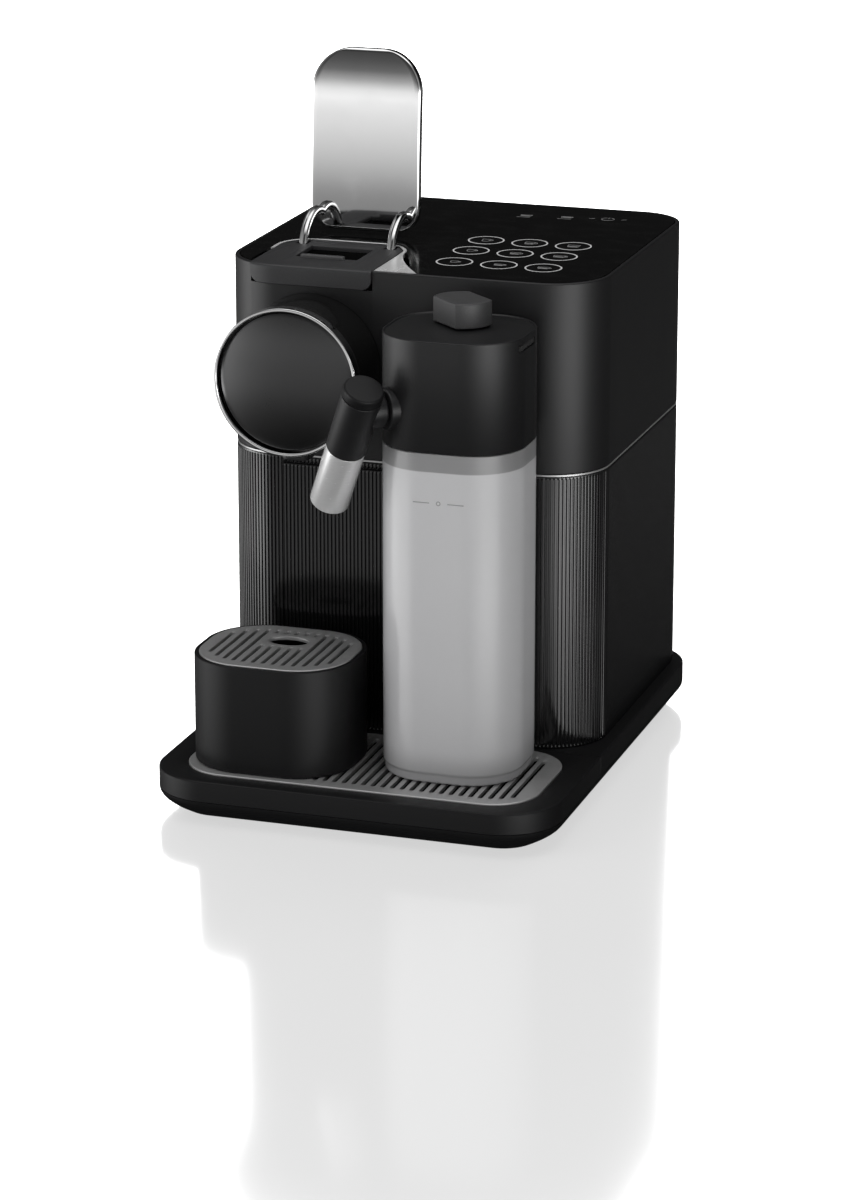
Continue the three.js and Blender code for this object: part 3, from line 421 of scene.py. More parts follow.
def turned_profile(origin, axis, profile, steps=64, ends=(True, True)):
    """Surface of revolution: each profile step (distance along the axis, radius) is a circle round it."""
    axis = np.asarray(axis, float) / np.linalg.norm(axis)
    helper = np.array([0.0, 0.0, 1.0]) if abs(axis[2]) < 0.9 else np.array([1.0, 0.0, 0.0])
    across = np.cross(helper, axis)
    across /= np.linalg.norm(across)
    up = np.cross(axis, across)
    along, radius = np.asarray(profile, float).T[:, :, None, None]
    angle = np.linspace(0, TURN, steps, endpoint=False)[None, :, None]
    circle = np.cos(angle) * across + np.sin(angle) * up
    return skin(np.asarray(origin) + along * axis + radius * circle, True, ends)


def carried(path, section, flat_axis):
    """A closed section (side, lift) carried along a path of points: side is measured along flat_axis, and
    lift along the normal that is square to both flat_axis and the path."""
    path = np.asarray(path, float)
    tangent = np.gradient(path, axis=0)
    tangent /= np.linalg.norm(tangent, axis=1, keepdims=True)
    side = np.asarray(flat_axis, float)
    lift = np.cross(side, tangent)
    lift /= np.linalg.norm(lift, axis=1, keepdims=True)
    s = np.asarray(section, float)
    rows = path[:, None] + s[None, :, 0, None] * side + s[None, :, 1, None] * lift[:, None]
    return skin(rows, ends=(True, True))


def cell(rim, hole, heights, soften):
    """A plate's patch with one hole: a loop round the patch and a loop round the hole are joined over the
    top, down the hole's wall and back under the plate. The hole's upper edge is rounded by soften."""
    top, bottom = heights
    middle = hole.mean(axis=0)
    out = (hole - middle) / np.linalg.norm(hole - middle, axis=1, keepdims=True)
    wider = [(soften, 0), (soften * 0.3, soften * 0.3), (0, soften)]
    rings = [(rim, top)] + [(hole + grow * out, top - drop) for grow, drop in wider]
    rings += [(hole, bottom), (rim, bottom)]
    return skin(np.stack([np.column_stack([xy, np.full(len(xy), z)]) for xy, z in rings]), tube=True)


def patch_rim(x0, x1, low, high, steps):
    """Loop round a patch between x0 and x1 whose front and rear edges are functions of x, with as many
    points on each of its four sides; points crowd towards the corners by a cosine."""
    t = (1 - np.cos(np.linspace(0, math.pi, steps + 1)[:-1])) / 2
    right = x0 + (x1 - x0) * t
    left = x1 + (x0 - x1) * t
    ends = low(np.array([x0, x1])), high(np.array([x0, x1]))
    side_right = ends[0][1] + (ends[1][1] - ends[0][1]) * t
    side_left = ends[1][0] + (ends[0][0] - ends[1][0]) * t
    return np.concatenate(
        [
            np.column_stack([right, low(right)]),
            np.column_stack([np.full(steps, x1), side_right]),
            np.column_stack([left, high(left)]),
            np.column_stack([np.full(steps, x0), side_left]),
        ]
    )


def stadium(x, y0, y1, half, steps):
    """Loop round a slot with round ends: a half circle, a side, a half circle and a side, with as many
    points on each."""
    t = np.linspace(0, 1, steps + 1)[:-1]
    front = math.pi * (1 + t)
    rear = math.pi * t
    return np.concatenate(
        [
            np.column_stack([x + half * np.cos(front), y0 + half + half * np.sin(front)]),
            np.column_stack([np.full(steps, x + half), y0 + half + (y1 - y0 - 2 * half) * t]),
            np.column_stack([x + half * np.cos(rear), y1 - half + half * np.sin(rear)]),
            np.column_stack([np.full(steps, x - half), y1 - half - (y1 - y0 - 2 * half) * t]),
        ]
    )


SHARP = math.radians(35)


def piece(name, surface, material, body, stands_for=()):
    """One object at the origin from a surface, with smooth faces that break at sharp edges."""
    mesh = bpy.data.meshes.new(name)
    faces = surface.quads.tolist() + [end.tolist() for end in surface.ends]
    mesh.from_pydata(surface.points.tolist(), [], faces)
    mesh.validate()
    mesh.shade_smooth()
    mesh.set_sharp_from_angle(angle=SHARP)
    mesh.materials.append(material)
    made = bpy.data.objects.new(name, mesh)
    bpy.context.scene.collection.objects.link(made)
    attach(made, body)
    if stands_for:
        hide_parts(*stands_for)


# ------------------------------------------------------------------------------ shader maths
class Value:
    """A shader socket: an expression on it adds the Math nodes that work it out."""

    def __init__(self, shader, socket):
        self.shader = shader
        self.socket = socket

    def _math(self, operation, first, second=None):
        values = {0: first} if second is None else {0: first, 1: second}
        return self.shader.node("ShaderNodeMath", {"operation": operation}, values)

    def __add__(self, other):
        return self._math("ADD", self, other)

    def __radd__(self, other):
        return self._math("ADD", other, self)

    def __rsub__(self, other):
        return self._math("SUBTRACT", other, self)

    def __mul__(self, other):
        return self._math("MULTIPLY", self, other)

    def __rmul__(self, other):
        return self._math("MULTIPLY", other, self)

    def above(self, edge, blur):
        """1 where the value is over the edge and 0 under it, with a soft step between."""
        settings = {"interpolation_type": "SMOOTHSTEP"}
        values = {"Value": self, "From Min": edge - blur, "From Max": edge + blur}
        return self.shader.node("ShaderNodeMapRange", settings, values)


class Shader:
    """The node tree of a material, or of a world, and its one shader."""

    def __init__(self, name, kind="materials", surface="Principled BSDF"):
        self.material = getattr(bpy.data, kind).new(name)
        self.material.use_nodes = True
        self.tree = self.material.node_tree
        self.surface = self.tree.nodes[surface]

    def node(self, kind, settings=(), values=(), output=0):
        """A node of that kind with its settings made first, then its sockets' values or links."""
        made = self.tree.nodes.new(kind)
        for key, value in dict(settings).items():
            setattr(made, key, value)
        for key, value in dict(values).items():
            self.feed(made.inputs[key], value)
        return Value(self, made.outputs[output])

    def feed(self, socket, value):
        """Links a Value to a socket, or sets the socket to a number or colour."""
        if isinstance(value, Value):
            self.tree.links.new(value.socket, socket)
        elif hasattr(value, "__len__") and len(value) == 3 and socket.type == "RGBA":
            socket.default_value = (*value, 1)
        else:
            socket.default_value = value

    def set(self, **sockets):
        """Sets the Principled shader's sockets; an underscore stands for a space in a socket's name."""
        for key, value in sockets.items():
            self.feed(self.surface.inputs[key.replace("_", " ")], value)

    def place(self, stretch=(1, 1, 1)):
        """Object coordinates, stretched along each axis."""
        where = self.node("ShaderNodeTexCoord", output="Object")
        return self.node("ShaderNodeVectorMath", {"operation": "MULTIPLY"}, {0: where, 1: stretch})

    def noise(self, scale, detail=2.0, stretch=(1, 1, 1)):
        """Cloudy pattern of that many cells to the metre."""
        values = {"Vector": self.place(stretch), "Scale": scale, "Detail": detail}
        return self.node("ShaderNodeTexNoise", {}, values)

    def blend(self, share, first, second):
        """Colour between two colours."""
        return self.node(
            "ShaderNodeMix",
            {"data_type": "RGBA"},
            {"Factor": share, 6: first, 7: second},
            output=2,
        )

    def bump(self, height, depth, strength=1.0):
        """Normal of a surface raised by height times depth."""
        values = {"Height": height, "Distance": depth, "Strength": strength}
        self.feed(self.surface.inputs["Normal"], self.node("ShaderNodeBump", {}, values))


painters = {}
made_finishes = {}


def painter(function):
    """Lists a function that paints one finish under its own name."""
    painters[function.__name__] = function
    return function


def finish(name):
    """The material of that name, painted once."""
    if name not in made_finishes:
        shader = Shader(name)
        painters[name](shader)
        made_finishes[name] = shader.material
    return made_finishes[name]


# ------------------------------------------------------------------------------ finishes
def settings():
    return bpy.context.scene.machine_finishes


@painter
def satin_black(shader):
    """Fine-grained moulded plastic: a satin sheen that wanders a little, and a grain of 0.2 mm."""
    cloud = shader.noise(9, 3)
    speck = shader.noise(2600, 2)
    base = settings().satin_black
    lighter = [c * 1.35 for c in base]
    shader.set(Base_Color=shader.blend(speck.above(0.62, 0.1) * 0.5, base, lighter))
    shader.set(Roughness=0.36 + 0.07 * cloud + 0.05 * speck, Specular_IOR_Level=0.5)
    shader.bump(speck, 0.012 * MM, 0.6)


@painter
def base_black(shader):
    """Darker, duller moulding of the base and the cup support, with the same fine grain."""
    cloud = shader.noise(9, 3)
    speck = shader.noise(2600, 2)
    base = [c * 0.7 for c in settings().satin_black]
    lighter = [c * 1.35 for c in base]
    shader.set(Base_Color=shader.blend(speck.above(0.62, 0.1) * 0.5, base, lighter))
    shader.set(Roughness=0.4 + 0.07 * cloud + 0.05 * speck, Specular_IOR_Level=0.24)
    shader.bump(speck, 0.012 * MM, 0.6)


@painter
def ribbed_black(shader):
    """Glossy moulding with a faint ripple, and dust in the sheen."""
    ripple = shader.noise(160, 2, (1, 1, 0.15))
    dust = shader.noise(1500, 1)
    base = settings().ribbed_black
    shader.set(Base_Color=shader.blend(dust.above(0.7, 0.1), base, [c * 2 for c in base]))
    shader.set(Roughness=0.12 + 0.05 * ripple + 0.1 * dust.above(0.72, 0.08), Specular_IOR_Level=0.75)
    shader.bump(ripple, 0.02 * MM, 0.5)


@painter
def gloss_black(shader):
    """Polished black plastic with a slight orange peel."""
    peel = shader.noise(420, 2)
    cloud = shader.noise(25, 3)
    shader.set(Base_Color=shader.blend(cloud, (0.005, 0.005, 0.005), (0.009, 0.009, 0.009)))
    shader.set(Roughness=0.12 + 0.1 * cloud)
    shader.bump(peel, 0.01 * MM, 0.35)


@painter
def touch_panel(shader):
    """Black glassy panel with faint finger marks in the sheen."""
    marks = shader.noise(70, 4, (1, 1.6, 1))
    shader.set(Base_Color=shader.blend(marks, (0.0025, 0.0025, 0.0025), (0.004, 0.004, 0.004)))
    shader.set(Roughness=0.09 + 0.12 * marks.above(0.58, 0.12), IOR=1.17)


@painter
def faceplate_black(shader):
    """Disc of black anodised metal: it mirrors light softly and darkly."""
    cloud = shader.noise(30, 2)
    grain = shader.noise(3000, 2)
    shader.set(Base_Color=shader.blend(cloud, (0.085, 0.085, 0.086), (0.105, 0.105, 0.106)), Metallic=1.0)
    shader.set(Roughness=0.24 + 0.05 * cloud + 0.04 * grain)
    shader.bump(grain, 0.006 * MM, 0.5)


@painter
def lid_black(shader):
    """Darker, smoother top of the milk lid."""
    cloud = shader.noise(40, 3)
    shader.set(Base_Color=shader.blend(cloud, (0.007, 0.007, 0.007), (0.011, 0.011, 0.011)))
    shader.set(Roughness=0.3 + 0.08 * cloud)


@painter
def head_grey(shader):
    """Dark grey cover with a fine spark-eroded texture."""
    grain = shader.noise(2400, 3)
    cloud = shader.noise(18, 2)
    base = settings().head_grey
    shader.set(Base_Color=shader.blend(grain.above(0.55, 0.2), base, [c * 1.3 for c in base]))
    shader.set(Roughness=0.45 + 0.08 * cloud)
    shader.bump(grain, 0.015 * MM, 0.7)


@painter
def chrome(shader):
    """Mirror plating with the faintest haze."""
    haze = shader.noise(60, 4)
    shader.set(Base_Color=shader.blend(haze, (0.82, 0.82, 0.82), (0.9, 0.9, 0.9)), Metallic=1.0)
    shader.set(Roughness=0.05 + 0.05 * haze.above(0.6, 0.15))


@painter
def bright_trim(shader):
    """Satin-plated trim: a pale plating that spreads the light a little."""
    haze = shader.noise(90, 4)
    shader.set(Base_Color=shader.blend(haze, (0.62, 0.62, 0.62), (0.74, 0.74, 0.74)), Metallic=0.35)
    shader.set(Roughness=0.2 + 0.12 * haze)


@painter
def knob_grey(shader):
    """Dark grey moulding of the froth knob, with a fine spark-eroded grain."""
    grain = shader.noise(2400, 3)
    cloud = shader.noise(18, 2)
    darker, lighter = (0.042, 0.042, 0.043), (0.056, 0.056, 0.057)
    shader.set(Base_Color=shader.blend(grain.above(0.55, 0.2), darker, lighter))
    shader.set(Roughness=0.4 + 0.08 * cloud)
    shader.bump(grain, 0.012 * MM, 0.6)


@painter
def steel(shader):
    """Steel brushed from side to side: hair-fine streaks in the sheen and the colour."""
    brush = shader.noise(260, 3, (0.06, 6, 6))
    base = settings().steel
    shader.set(Base_Color=shader.blend(brush, [c * 0.8 for c in base], base), Metallic=0.7)
    shader.set(Roughness=0.26 + 0.14 * brush)
    shader.bump(brush, 0.008 * MM, 0.5)


@painter
def spout_steel(shader):
    """Satin steel tube, brushed round."""
    brush = shader.noise(500, 3, (0.4, 0.4, 5))
    shader.set(Base_Color=shader.blend(brush, (0.72, 0.72, 0.72), (0.84, 0.84, 0.84)), Metallic=0.6)
    shader.set(Roughness=0.2 + 0.1 * brush)
    shader.bump(brush, 0.005 * MM, 0.3)


@painter
def frosted_plastic(shader):
    """Cloudy plastic: light spreads in it, a fine frost breaks up the sheen, and painted shade darkens
    its colour in a band under the lid, for the lid's collar seen through it, and towards the thick floor."""
    frost = shader.noise(900, 3)
    cloud = shader.noise(14, 3, (1, 1, 0.5))
    base = settings().frosted
    _, _, z = spans("milk_container")
    height = shader.node("ShaderNodeSeparateXYZ", {}, {"Vector": shader.place()}, output="Z")
    # painted shade: a dark band in the colour just under the lid, standing for the lid's collar seen through
    collar = height.above(z[1] - 8.8 * MM, 0.3 * MM) * 0.58
    # painted shade: the colour darkens towards the bottom, standing for the thick floor seen through
    foot = (1 - height.above(z[0] + 11 * MM, 7 * MM)) * 0.3
    tone = shader.blend(cloud, [c * 0.92 for c in base], base)
    # the two painted shade masks pull the colour down towards a tenth of it
    shader.set(Base_Color=shader.blend(collar + foot, tone, [c * 0.1 for c in base]))
    shader.set(Roughness=0.3 + 0.08 * frost, Transmission_Weight=0.5, IOR=1.45)
    shader.set(Coat_Weight=0.6, Coat_Roughness=0.16)
    shader.bump(frost, 0.01 * MM, 0.4)


@painter
def smoked_plastic(shader):
    """Clear grey tank plastic with flow marks."""
    flow = shader.noise(45, 3, (1, 1, 0.3))
    shader.set(Base_Color=shader.blend(flow, (0.2, 0.21, 0.22), (0.26, 0.27, 0.28)))
    shader.set(Roughness=0.06 + 0.08 * flow, Transmission_Weight=0.75, IOR=1.47)
    shader.bump(flow, 0.02 * MM, 0.3)


@painter
def rubber(shader):
    """Matt rubber with a chalky bloom."""
    bloom = shader.noise(220, 4)
    shader.set(Base_Color=shader.blend(bloom, (0.01, 0.01, 0.01), (0.025, 0.025, 0.025)))
    shader.set(Roughness=0.75 + 0.2 * bloom)
    shader.bump(bloom, 0.03 * MM, 0.6)


@painter
def silicone(shader):
    """Soft grey hose and seal."""
    bloom = shader.noise(160, 3)
    shader.set(Base_Color=shader.blend(bloom, (0.3, 0.3, 0.3), (0.4, 0.4, 0.4)))
    shader.set(Roughness=0.5 + 0.15 * bloom)


@painter
def white_plastic(shader):
    """Plain white engineering plastic with sink marks and a fine grain."""
    cloud = shader.noise(60, 3)
    grain = shader.noise(2000, 2)
    shader.set(Base_Color=shader.blend(cloud, (0.6, 0.6, 0.57), (0.72, 0.72, 0.69)))
    shader.set(Roughness=0.42 + 0.12 * cloud)
    shader.bump(grain, 0.015 * MM, 0.5)


@painter
def brass(shader):
    """Machined brass with turning marks."""
    lines = shader.noise(900, 2, (0.2, 1, 1))
    shader.set(Base_Color=shader.blend(lines, (0.5, 0.34, 0.12), (0.62, 0.44, 0.18)), Metallic=1.0)
    shader.set(Roughness=0.28 + 0.15 * lines)


@painter
def circuit_board(shader):
    """Green lacquered board with a lighter web of tracks."""
    values = {"Vector": shader.place(), "Scale": 420}
    tracks = shader.node("ShaderNodeTexVoronoi", {"feature": "DISTANCE_TO_EDGE"}, values)
    shader.set(Base_Color=shader.blend(tracks.above(0.06, 0.02), (0.06, 0.22, 0.1), (0.012, 0.09, 0.035)))
    shader.set(Roughness=0.35 + 0.2 * shader.noise(300, 2))


@painter
def aluminium(shader):
    """Cast aluminium with a pebbly skin."""
    cast = shader.noise(700, 4)
    shader.set(Base_Color=shader.blend(cast, (0.45, 0.46, 0.47), (0.6, 0.61, 0.62)), Metallic=1.0)
    shader.set(Roughness=0.42 + 0.2 * cast)
    shader.bump(cast, 0.05 * MM, 0.6)


@painter
def key_print_painted_glow(shader):
    """Pale grey screen print, a little uneven in its ink, with a painted glow of faint light of its own."""
    ink = shader.noise(1400, 2)
    shader.set(Base_Color=shader.blend(ink, (0.42, 0.42, 0.42), (0.6, 0.6, 0.6)))
    # painted glow: the print gives off faint light though it is no lamp
    shader.set(Roughness=0.45 + 0.15 * ink, Emission_Color=(0.5, 0.5, 0.5), Emission_Strength=0.12)


@painter
def symbol_print(shader):
    """Thinner, darker print of the small symbols."""
    ink = shader.noise(1400, 2)
    shader.set(Base_Color=shader.blend(ink, (0.22, 0.22, 0.22), (0.34, 0.34, 0.34)))
    shader.set(Roughness=0.5 + 0.1 * ink)


# ------------------------------------------------------------------------------ places in the frame
def spans(node):
    """(x, y, z) of a CAD node, each as (lowest, highest)."""
    low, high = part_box(node)
    return tuple(zip(low, high))


def body_outline():
    sizes = bpy.context.scene.machine_shell
    x, y, _ = spans("upper_housing")
    return Outline(x, y, sizes.corner, sizes.rear_corner)


# ------------------------------------------------------------------------------ base and tray
GRID_CORNER = 24 * MM
SUPPORT_CORNER = 29 * MM
SUPPORT_GRID_CORNER = 26.7 * MM
TANK_CORNER = 24 * MM
TANK_FRONT_CORNER = 4 * MM
BASE_CORNER = 30 * MM
BASE_BAND = 10.6 * MM
BASE_UNDERCUT = 13 * MM
CUT_OFF = 0.4 * MM


def doubled(first, last):
    """The two ends of a pocket, each with a second place just inside it, so that its walls are upright."""
    return np.array([first, first + 1e-5, last - 1e-5, last])


def base_profile(z):
    """(inset, height) up the base's side: the underside swings out along a quarter sine, a fine groove
    marks the foot of the upright band, and the top edge is rounded."""
    bottom, top = z
    foot = top - BASE_BAND
    t = np.linspace(0, 1, 9)
    inward = BASE_UNDERCUT * (1 - np.sin(t * math.pi / 2))
    swing = np.column_stack([inward, bottom + (foot - bottom) * t])
    groove = 0.35 * MM
    band = [(0, foot), (groove, foot + groove * 0.5), (0, foot + groove * 1.4), (0, foot + 2 * MM)]
    edge = soft([(0, foot + 2 * MM), (0, top), (3 * MM, top)], 1.1 * MM, 5)
    return np.concatenate([swing, band[1:], edge[1:]])


class MACHINE_OT_base(bpy.types.Operator):
    """Base platform, its drip tray and the rubber feet"""

    bl_idname = "machine.base"
    bl_label = "Base and tray"

    def execute(self, context):
        x, y, z = spans("drip_tray")
        outline = Outline(x, y, BASE_CORNER, CUT_OFF)
        rows = [loop(outline, inset, height, flat="rear") for inset, height in base_profile(z)]
        grid = Outline(*spans("drip_grid")[:2], GRID_CORNER)
        seat = spans("drip_grid")[2][0] - 0.3 * MM
        rows += [loop(grid, inset, height) for inset, height in (
            (-0.9 * MM, z[1]),
            (-0.4 * MM, z[1] - 0.3 * MM),
            (-0.3 * MM, seat),
            (3 * MM, seat),
            (3 * MM, seat - 10 * MM),
        )]
        tray = skin(np.stack(rows), ends=(True, True))
        piece("tray", tray, finish("base_black"), "tray_unit", ["drip_tray"])

        x, y, z = spans("base_frame")
        rear = spans("water_tank")[0][1]
        body_back = spans("lower_shell")[1][1]
        platform = Outline(x, (y[0], body_back + 3 * MM), CUT_OFF, BASE_CORNER)
        slab = loft(platform, base_profile(z), flat="front")
        base = slab + self.tank_seat(y[1], z, rear)
        piece("base", base, finish("base_black"), "root", ["base_frame"])
        for foot in [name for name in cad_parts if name.startswith("foot_")]:
            self.foot(foot)
        return {"FINISHED"}

    def foot(self, node):
        """Low puck that narrows to the floor, with a shallow dish in its sole."""
        (x0, x1), (y0, y1), (low, high) = spans(node)
        centre = ((x0 + x1) / 2, (y0 + y1) / 2, low)
        r = (x1 - x0) / 2
        dish = [(0.4 * MM, 0.0), (0.4 * MM, r * 0.5), (0, r * 0.6)]
        side = soft([*dish, (0, r * 0.9), (high - low, r)], 0.5 * MM)
        puck = turned_profile(centre, (0, 0, 1), side, 40)
        piece(f"{node}_puck", puck, finish("rubber"), "root", [node])

    def tank_seat(self, back, z, half):
        """Plinth behind the body with a round recess for the valve's socket in its top and a square one for
        the cord gland in its rear face: wall points inside that square are pushed in."""
        gland_x, gland_y, gland_z = spans("mains_gland")
        room = 0.3 * MM
        front = spans("water_tank")[1][0] - 20 * MM
        outline = Outline((-half, half), (front, back), TANK_FRONT_CORNER, TANK_CORNER)
        cuts = doubled(gland_x[0] - room, gland_x[1] + room)
        places = outline.places(extra=outline.marks[4] + outline.x[1] - outline.rear - cuts)
        low, high = gland_z[0] - room, gland_z[1] + room
        levels = [(0.8 * MM, z[0]), (0, z[0] + 0.8 * MM)]
        levels += [(0, height) for height in doubled(low, high)]
        levels += [(0, z[1] - 0.8 * MM), (0.3 * MM, z[1] - 0.2 * MM), (0.8 * MM, z[1])]
        rows = np.stack([loop(outline, inset, height, places) for inset, height in levels])
        across = (rows[..., 0] > cuts[1] - 1e-7) & (rows[..., 0] < cuts[2] + 1e-7)
        inside = across & (rows[..., 2] > low + 5e-6) & (rows[..., 2] < high - 5e-6)
        inside &= rows[..., 1] > back - 1 * MM
        rows[..., 1] = np.where(inside, gland_y[0] - room, rows[..., 1])
        socket = spans("tank_socket")
        centre = (0, (socket[1][0] + socket[1][1]) / 2)
        radius = (socket[0][1] - socket[0][0]) / 2 + room
        recess = [circle_loop(rows[-1], centre, radius, height) for height in (z[1], socket[2][0] - room)]
        return skin(np.concatenate([rows, np.stack(recess)]), ends=(True, True))


class MACHINE_OT_drip_grid(bpy.types.Operator):
    """Steel drip grid with a slot in each of its cells"""

    bl_idname = "machine.drip_grid"
    bl_label = "Drip grid"

    def execute(self, context):
        sizes = context.scene.machine_grille
        (x0, x1), y, (bottom, top) = spans("drip_grid")
        outline = Outline((x0, x1), y, GRID_CORNER)
        edge = 1.2 * MM
        grid = rolled_border(outline, edge, (bottom, top))
        inner = outline.grown(-edge)
        count = int((x1 - x0 - 12 * MM) / sizes.tray_pitch)
        first = (x0 + x1) / 2 - (count - 1) / 2 * sizes.tray_pitch
        for i in range(count):
            x = first + i * sizes.tray_pitch
            left = inner.x[0] if i == 0 else x - sizes.tray_pitch / 2
            right = inner.x[1] if i == count - 1 else x + sizes.tray_pitch / 2
            grid += slotted_cell(inner, left, right, x, sizes.tray_slot / 2, 6.5 * MM, (bottom, top))
        piece("grid", grid, finish("steel"), "tray_unit", ["drip_grid"])
        return {"FINISHED"}


def rolled_border(outline, width, z):
    """Closed band round a plate: its section is the plate's edge with both outer corners rounded."""
    bottom, top = z
    section = soft([(width, top), (0, top), (0, bottom), (width, bottom)], [0.7 * MM, 0.3 * MM], 4)
    return loft(outline, section, ends=(False, False), tube=True)


def straight(y):
    """Edge of a patch that stays at one y."""
    return lambda at: np.full(np.shape(at), y)


def slotted_cell(outline, left, right, x, half, margin, z, low=None, high=None):
    """One patch between left and right with a slot at x that stops a margin short of the outline. low and
    high, where given, are straight limits of the patch in place of the outline."""
    bottom, top = z
    front = (lambda at: outline.reach(at)[0]) if low is None else straight(low)
    rear = (lambda at: outline.reach(at)[1]) if high is None else straight(high)
    ends = np.array([x - half, x + half])
    inner_margin = 1.9 * MM
    front_margin = margin if low is None else inner_margin
    rear_margin = margin if high is None else inner_margin
    y0 = front(ends).max() + front_margin
    y1 = rear(ends).min() - rear_margin
    steps = 8
    rim = patch_rim(left, right, front, rear, steps)
    return cell(rim, stadium(x, y0, y1, half, steps), (top, bottom), 0.25 * MM)


class MACHINE_OT_cup_support(bpy.types.Operator):
    """Raised cup support: hollow box, and a steel grid with an oval finger hole"""

    bl_idname = "machine.cup_support"
    bl_label = "Cup support"

    def execute(self, context):
        x, y, z = spans("cup_support")
        outline = Outline(x, y, SUPPORT_CORNER)
        top = z[1] - 0.4 * MM
        wall = 2 * MM
        seat = spans("cup_support_grid")[2][0] - 0.3 * MM
        profile = soft(
            [(wall, z[0]), (0, z[0]), (0, top), (wall, top), (wall, seat)],
            [0.8 * MM, 0.7 * MM, 0.2 * MM],
        )
        profile = np.concatenate([profile, [(2 * wall, seat), (2 * wall, z[0] + 3 * MM)]])
        box = loft(outline, profile, outline.places(22))
        piece("support_box", box, finish("base_black"), "cup_stand", ["cup_support"])
        self.grid(context.scene.machine_grille)
        return {"FINISHED"}

    def grid(self, sizes):
        """Plate of cells: a slot in each, split where the oval finger hole crosses the middle cells."""
        x, y, (bottom, top) = spans("cup_support_grid")
        outline = Outline(x, y, SUPPORT_GRID_CORNER)
        edge = 1 * MM
        plate = rolled_border(outline, edge, (bottom, top))
        inner = outline.grown(-edge)
        middle = (x[0] + x[1]) / 2
        count = 13
        pitch = sizes.cup_pitch
        hole_y = y[1] - 21.7 * MM
        hole = np.array([10 * MM, 6.5 * MM])
        low, high = hole_y - hole[1] - 1.5 * MM, hole_y + hole[1] + 1.5 * MM
        blocked = 2
        span = (blocked + 0.5) * pitch
        for i in range(-(count // 2), count // 2 + 1):
            at = middle + i * pitch
            left = inner.x[0] if i == -(count // 2) else at - pitch / 2
            right = inner.x[1] if i == count // 2 else at + pitch / 2
            limits = [(None, low), (high, None)] if abs(i) <= blocked else [(None, None)]
            for front, rear in limits:
                plate += slotted_cell(
                    inner, left, right, at, sizes.cup_slot / 2, 6 * MM, (bottom, top), front, rear
                )
        steps = 12
        rim = patch_rim(middle - span, middle + span, straight(low), straight(high), steps)
        centre = np.array([middle, hole_y])
        angle = np.linspace(0, TURN, 4 * steps, endpoint=False) - math.pi * 3 / 4
        oval = centre + hole * np.column_stack([np.cos(angle), np.sin(angle)])
        plate += cell(rim, oval, (top, bottom), 0.6 * MM)
        piece("support_grid", plate, finish("steel"), "cup_stand_grid", ["cup_support_grid"])


# ------------------------------------------------------------------------------ body shells
def rib_places(start, end, pitch):
    """Distances along the wall with seven to a rib, and how deep the groove is at each: a flat ridge with
    soft shoulders, then a flat-bottomed groove."""
    share = np.array([0.0, 0.07, 0.28, 0.5, 0.57, 0.63, 0.94])
    depth = np.array([0.18, 0.0, 0.0, 0.0, 0.18, 1.0, 1.0])
    count = int(round((end - start) / pitch))
    places = (np.arange(count)[:, None] + share).ravel() * (end - start) / count + start
    return np.append(places, end), np.append(np.tile(depth, count), 0.18)


def ribbed_wall(outline, start, end, z, sizes, thickness=2.5 * MM):
    """Upright wall along an outline from one distance to another: its outer face is carved by ribs, whose
    grooves run out just below the top and just above the foot, and get shallower round the sides."""
    places, depth = rib_places(start, end, sizes.rib_pitch)
    points, normals = outline.at(places)
    bottom, top = z
    depth = depth * (0.05 + 0.95 * np.maximum(0, -normals[:, 1]))
    lift = 0.7 * MM
    heights = [bottom, bottom, bottom + lift, bottom + 2 * lift, top - 2 * lift, top - lift, top, top]
    inset = [thickness, 0.2 * MM, 0.05 * MM, 0, 0, 0.05 * MM, 0.2 * MM, thickness]
    carve = [0, 0, 0, 1, 1, 0, 0, 0]
    columns = []
    for height, back, cut in zip(heights, inset, carve):
        moved = points - (back + cut * sizes.rib_depth * depth)[:, None] * normals
        columns.append(np.column_stack([moved, np.full(len(points), height)]))
    return skin(np.stack(columns, axis=1), True, (True, True))


class MACHINE_OT_lower_shell(bpy.types.Operator):
    """Ribbed lower shell, and the ribbed front of the used-capsule container"""

    bl_idname = "machine.lower_shell"
    bl_label = "Lower shell"

    def execute(self, context):
        sizes = context.scene.machine_shell
        outline = body_outline()
        _, _, z = spans("lower_shell")
        x, y, bin_z = spans("used_capsule_container")
        gap = 0.3 * MM
        door = x[1]
        shell = ribbed_wall(outline, door + gap, outline.length - door - gap, z, sizes)
        lintel_z = (bin_z[1] + gap, z[1])
        shell += ribbed_wall(outline, -door - gap, door + gap, lintel_z, sizes)
        piece("ribbed_shell", shell, finish("ribbed_black"), "root", ["lower_shell"])

        front = ribbed_wall(outline, -door, door, (z[0], bin_z[1]), sizes)
        half = 46 * MM
        box = Outline((-half, half), (y[0] + 2 * MM, y[1]), 3 * MM)
        rim = bin_z[1] - 12 * MM
        profile = soft([(0, bin_z[0] + 1 * MM), (0, rim), (2 * MM, rim)], 0.6 * MM)
        hollow = np.concatenate([profile, [(2 * MM, z[0] + 2 * MM)]])
        front += loft(box, hollow)
        piece("bin", front, finish("ribbed_black"), "tray_unit", ["used_capsule_container"])
        return {"FINISHED"}


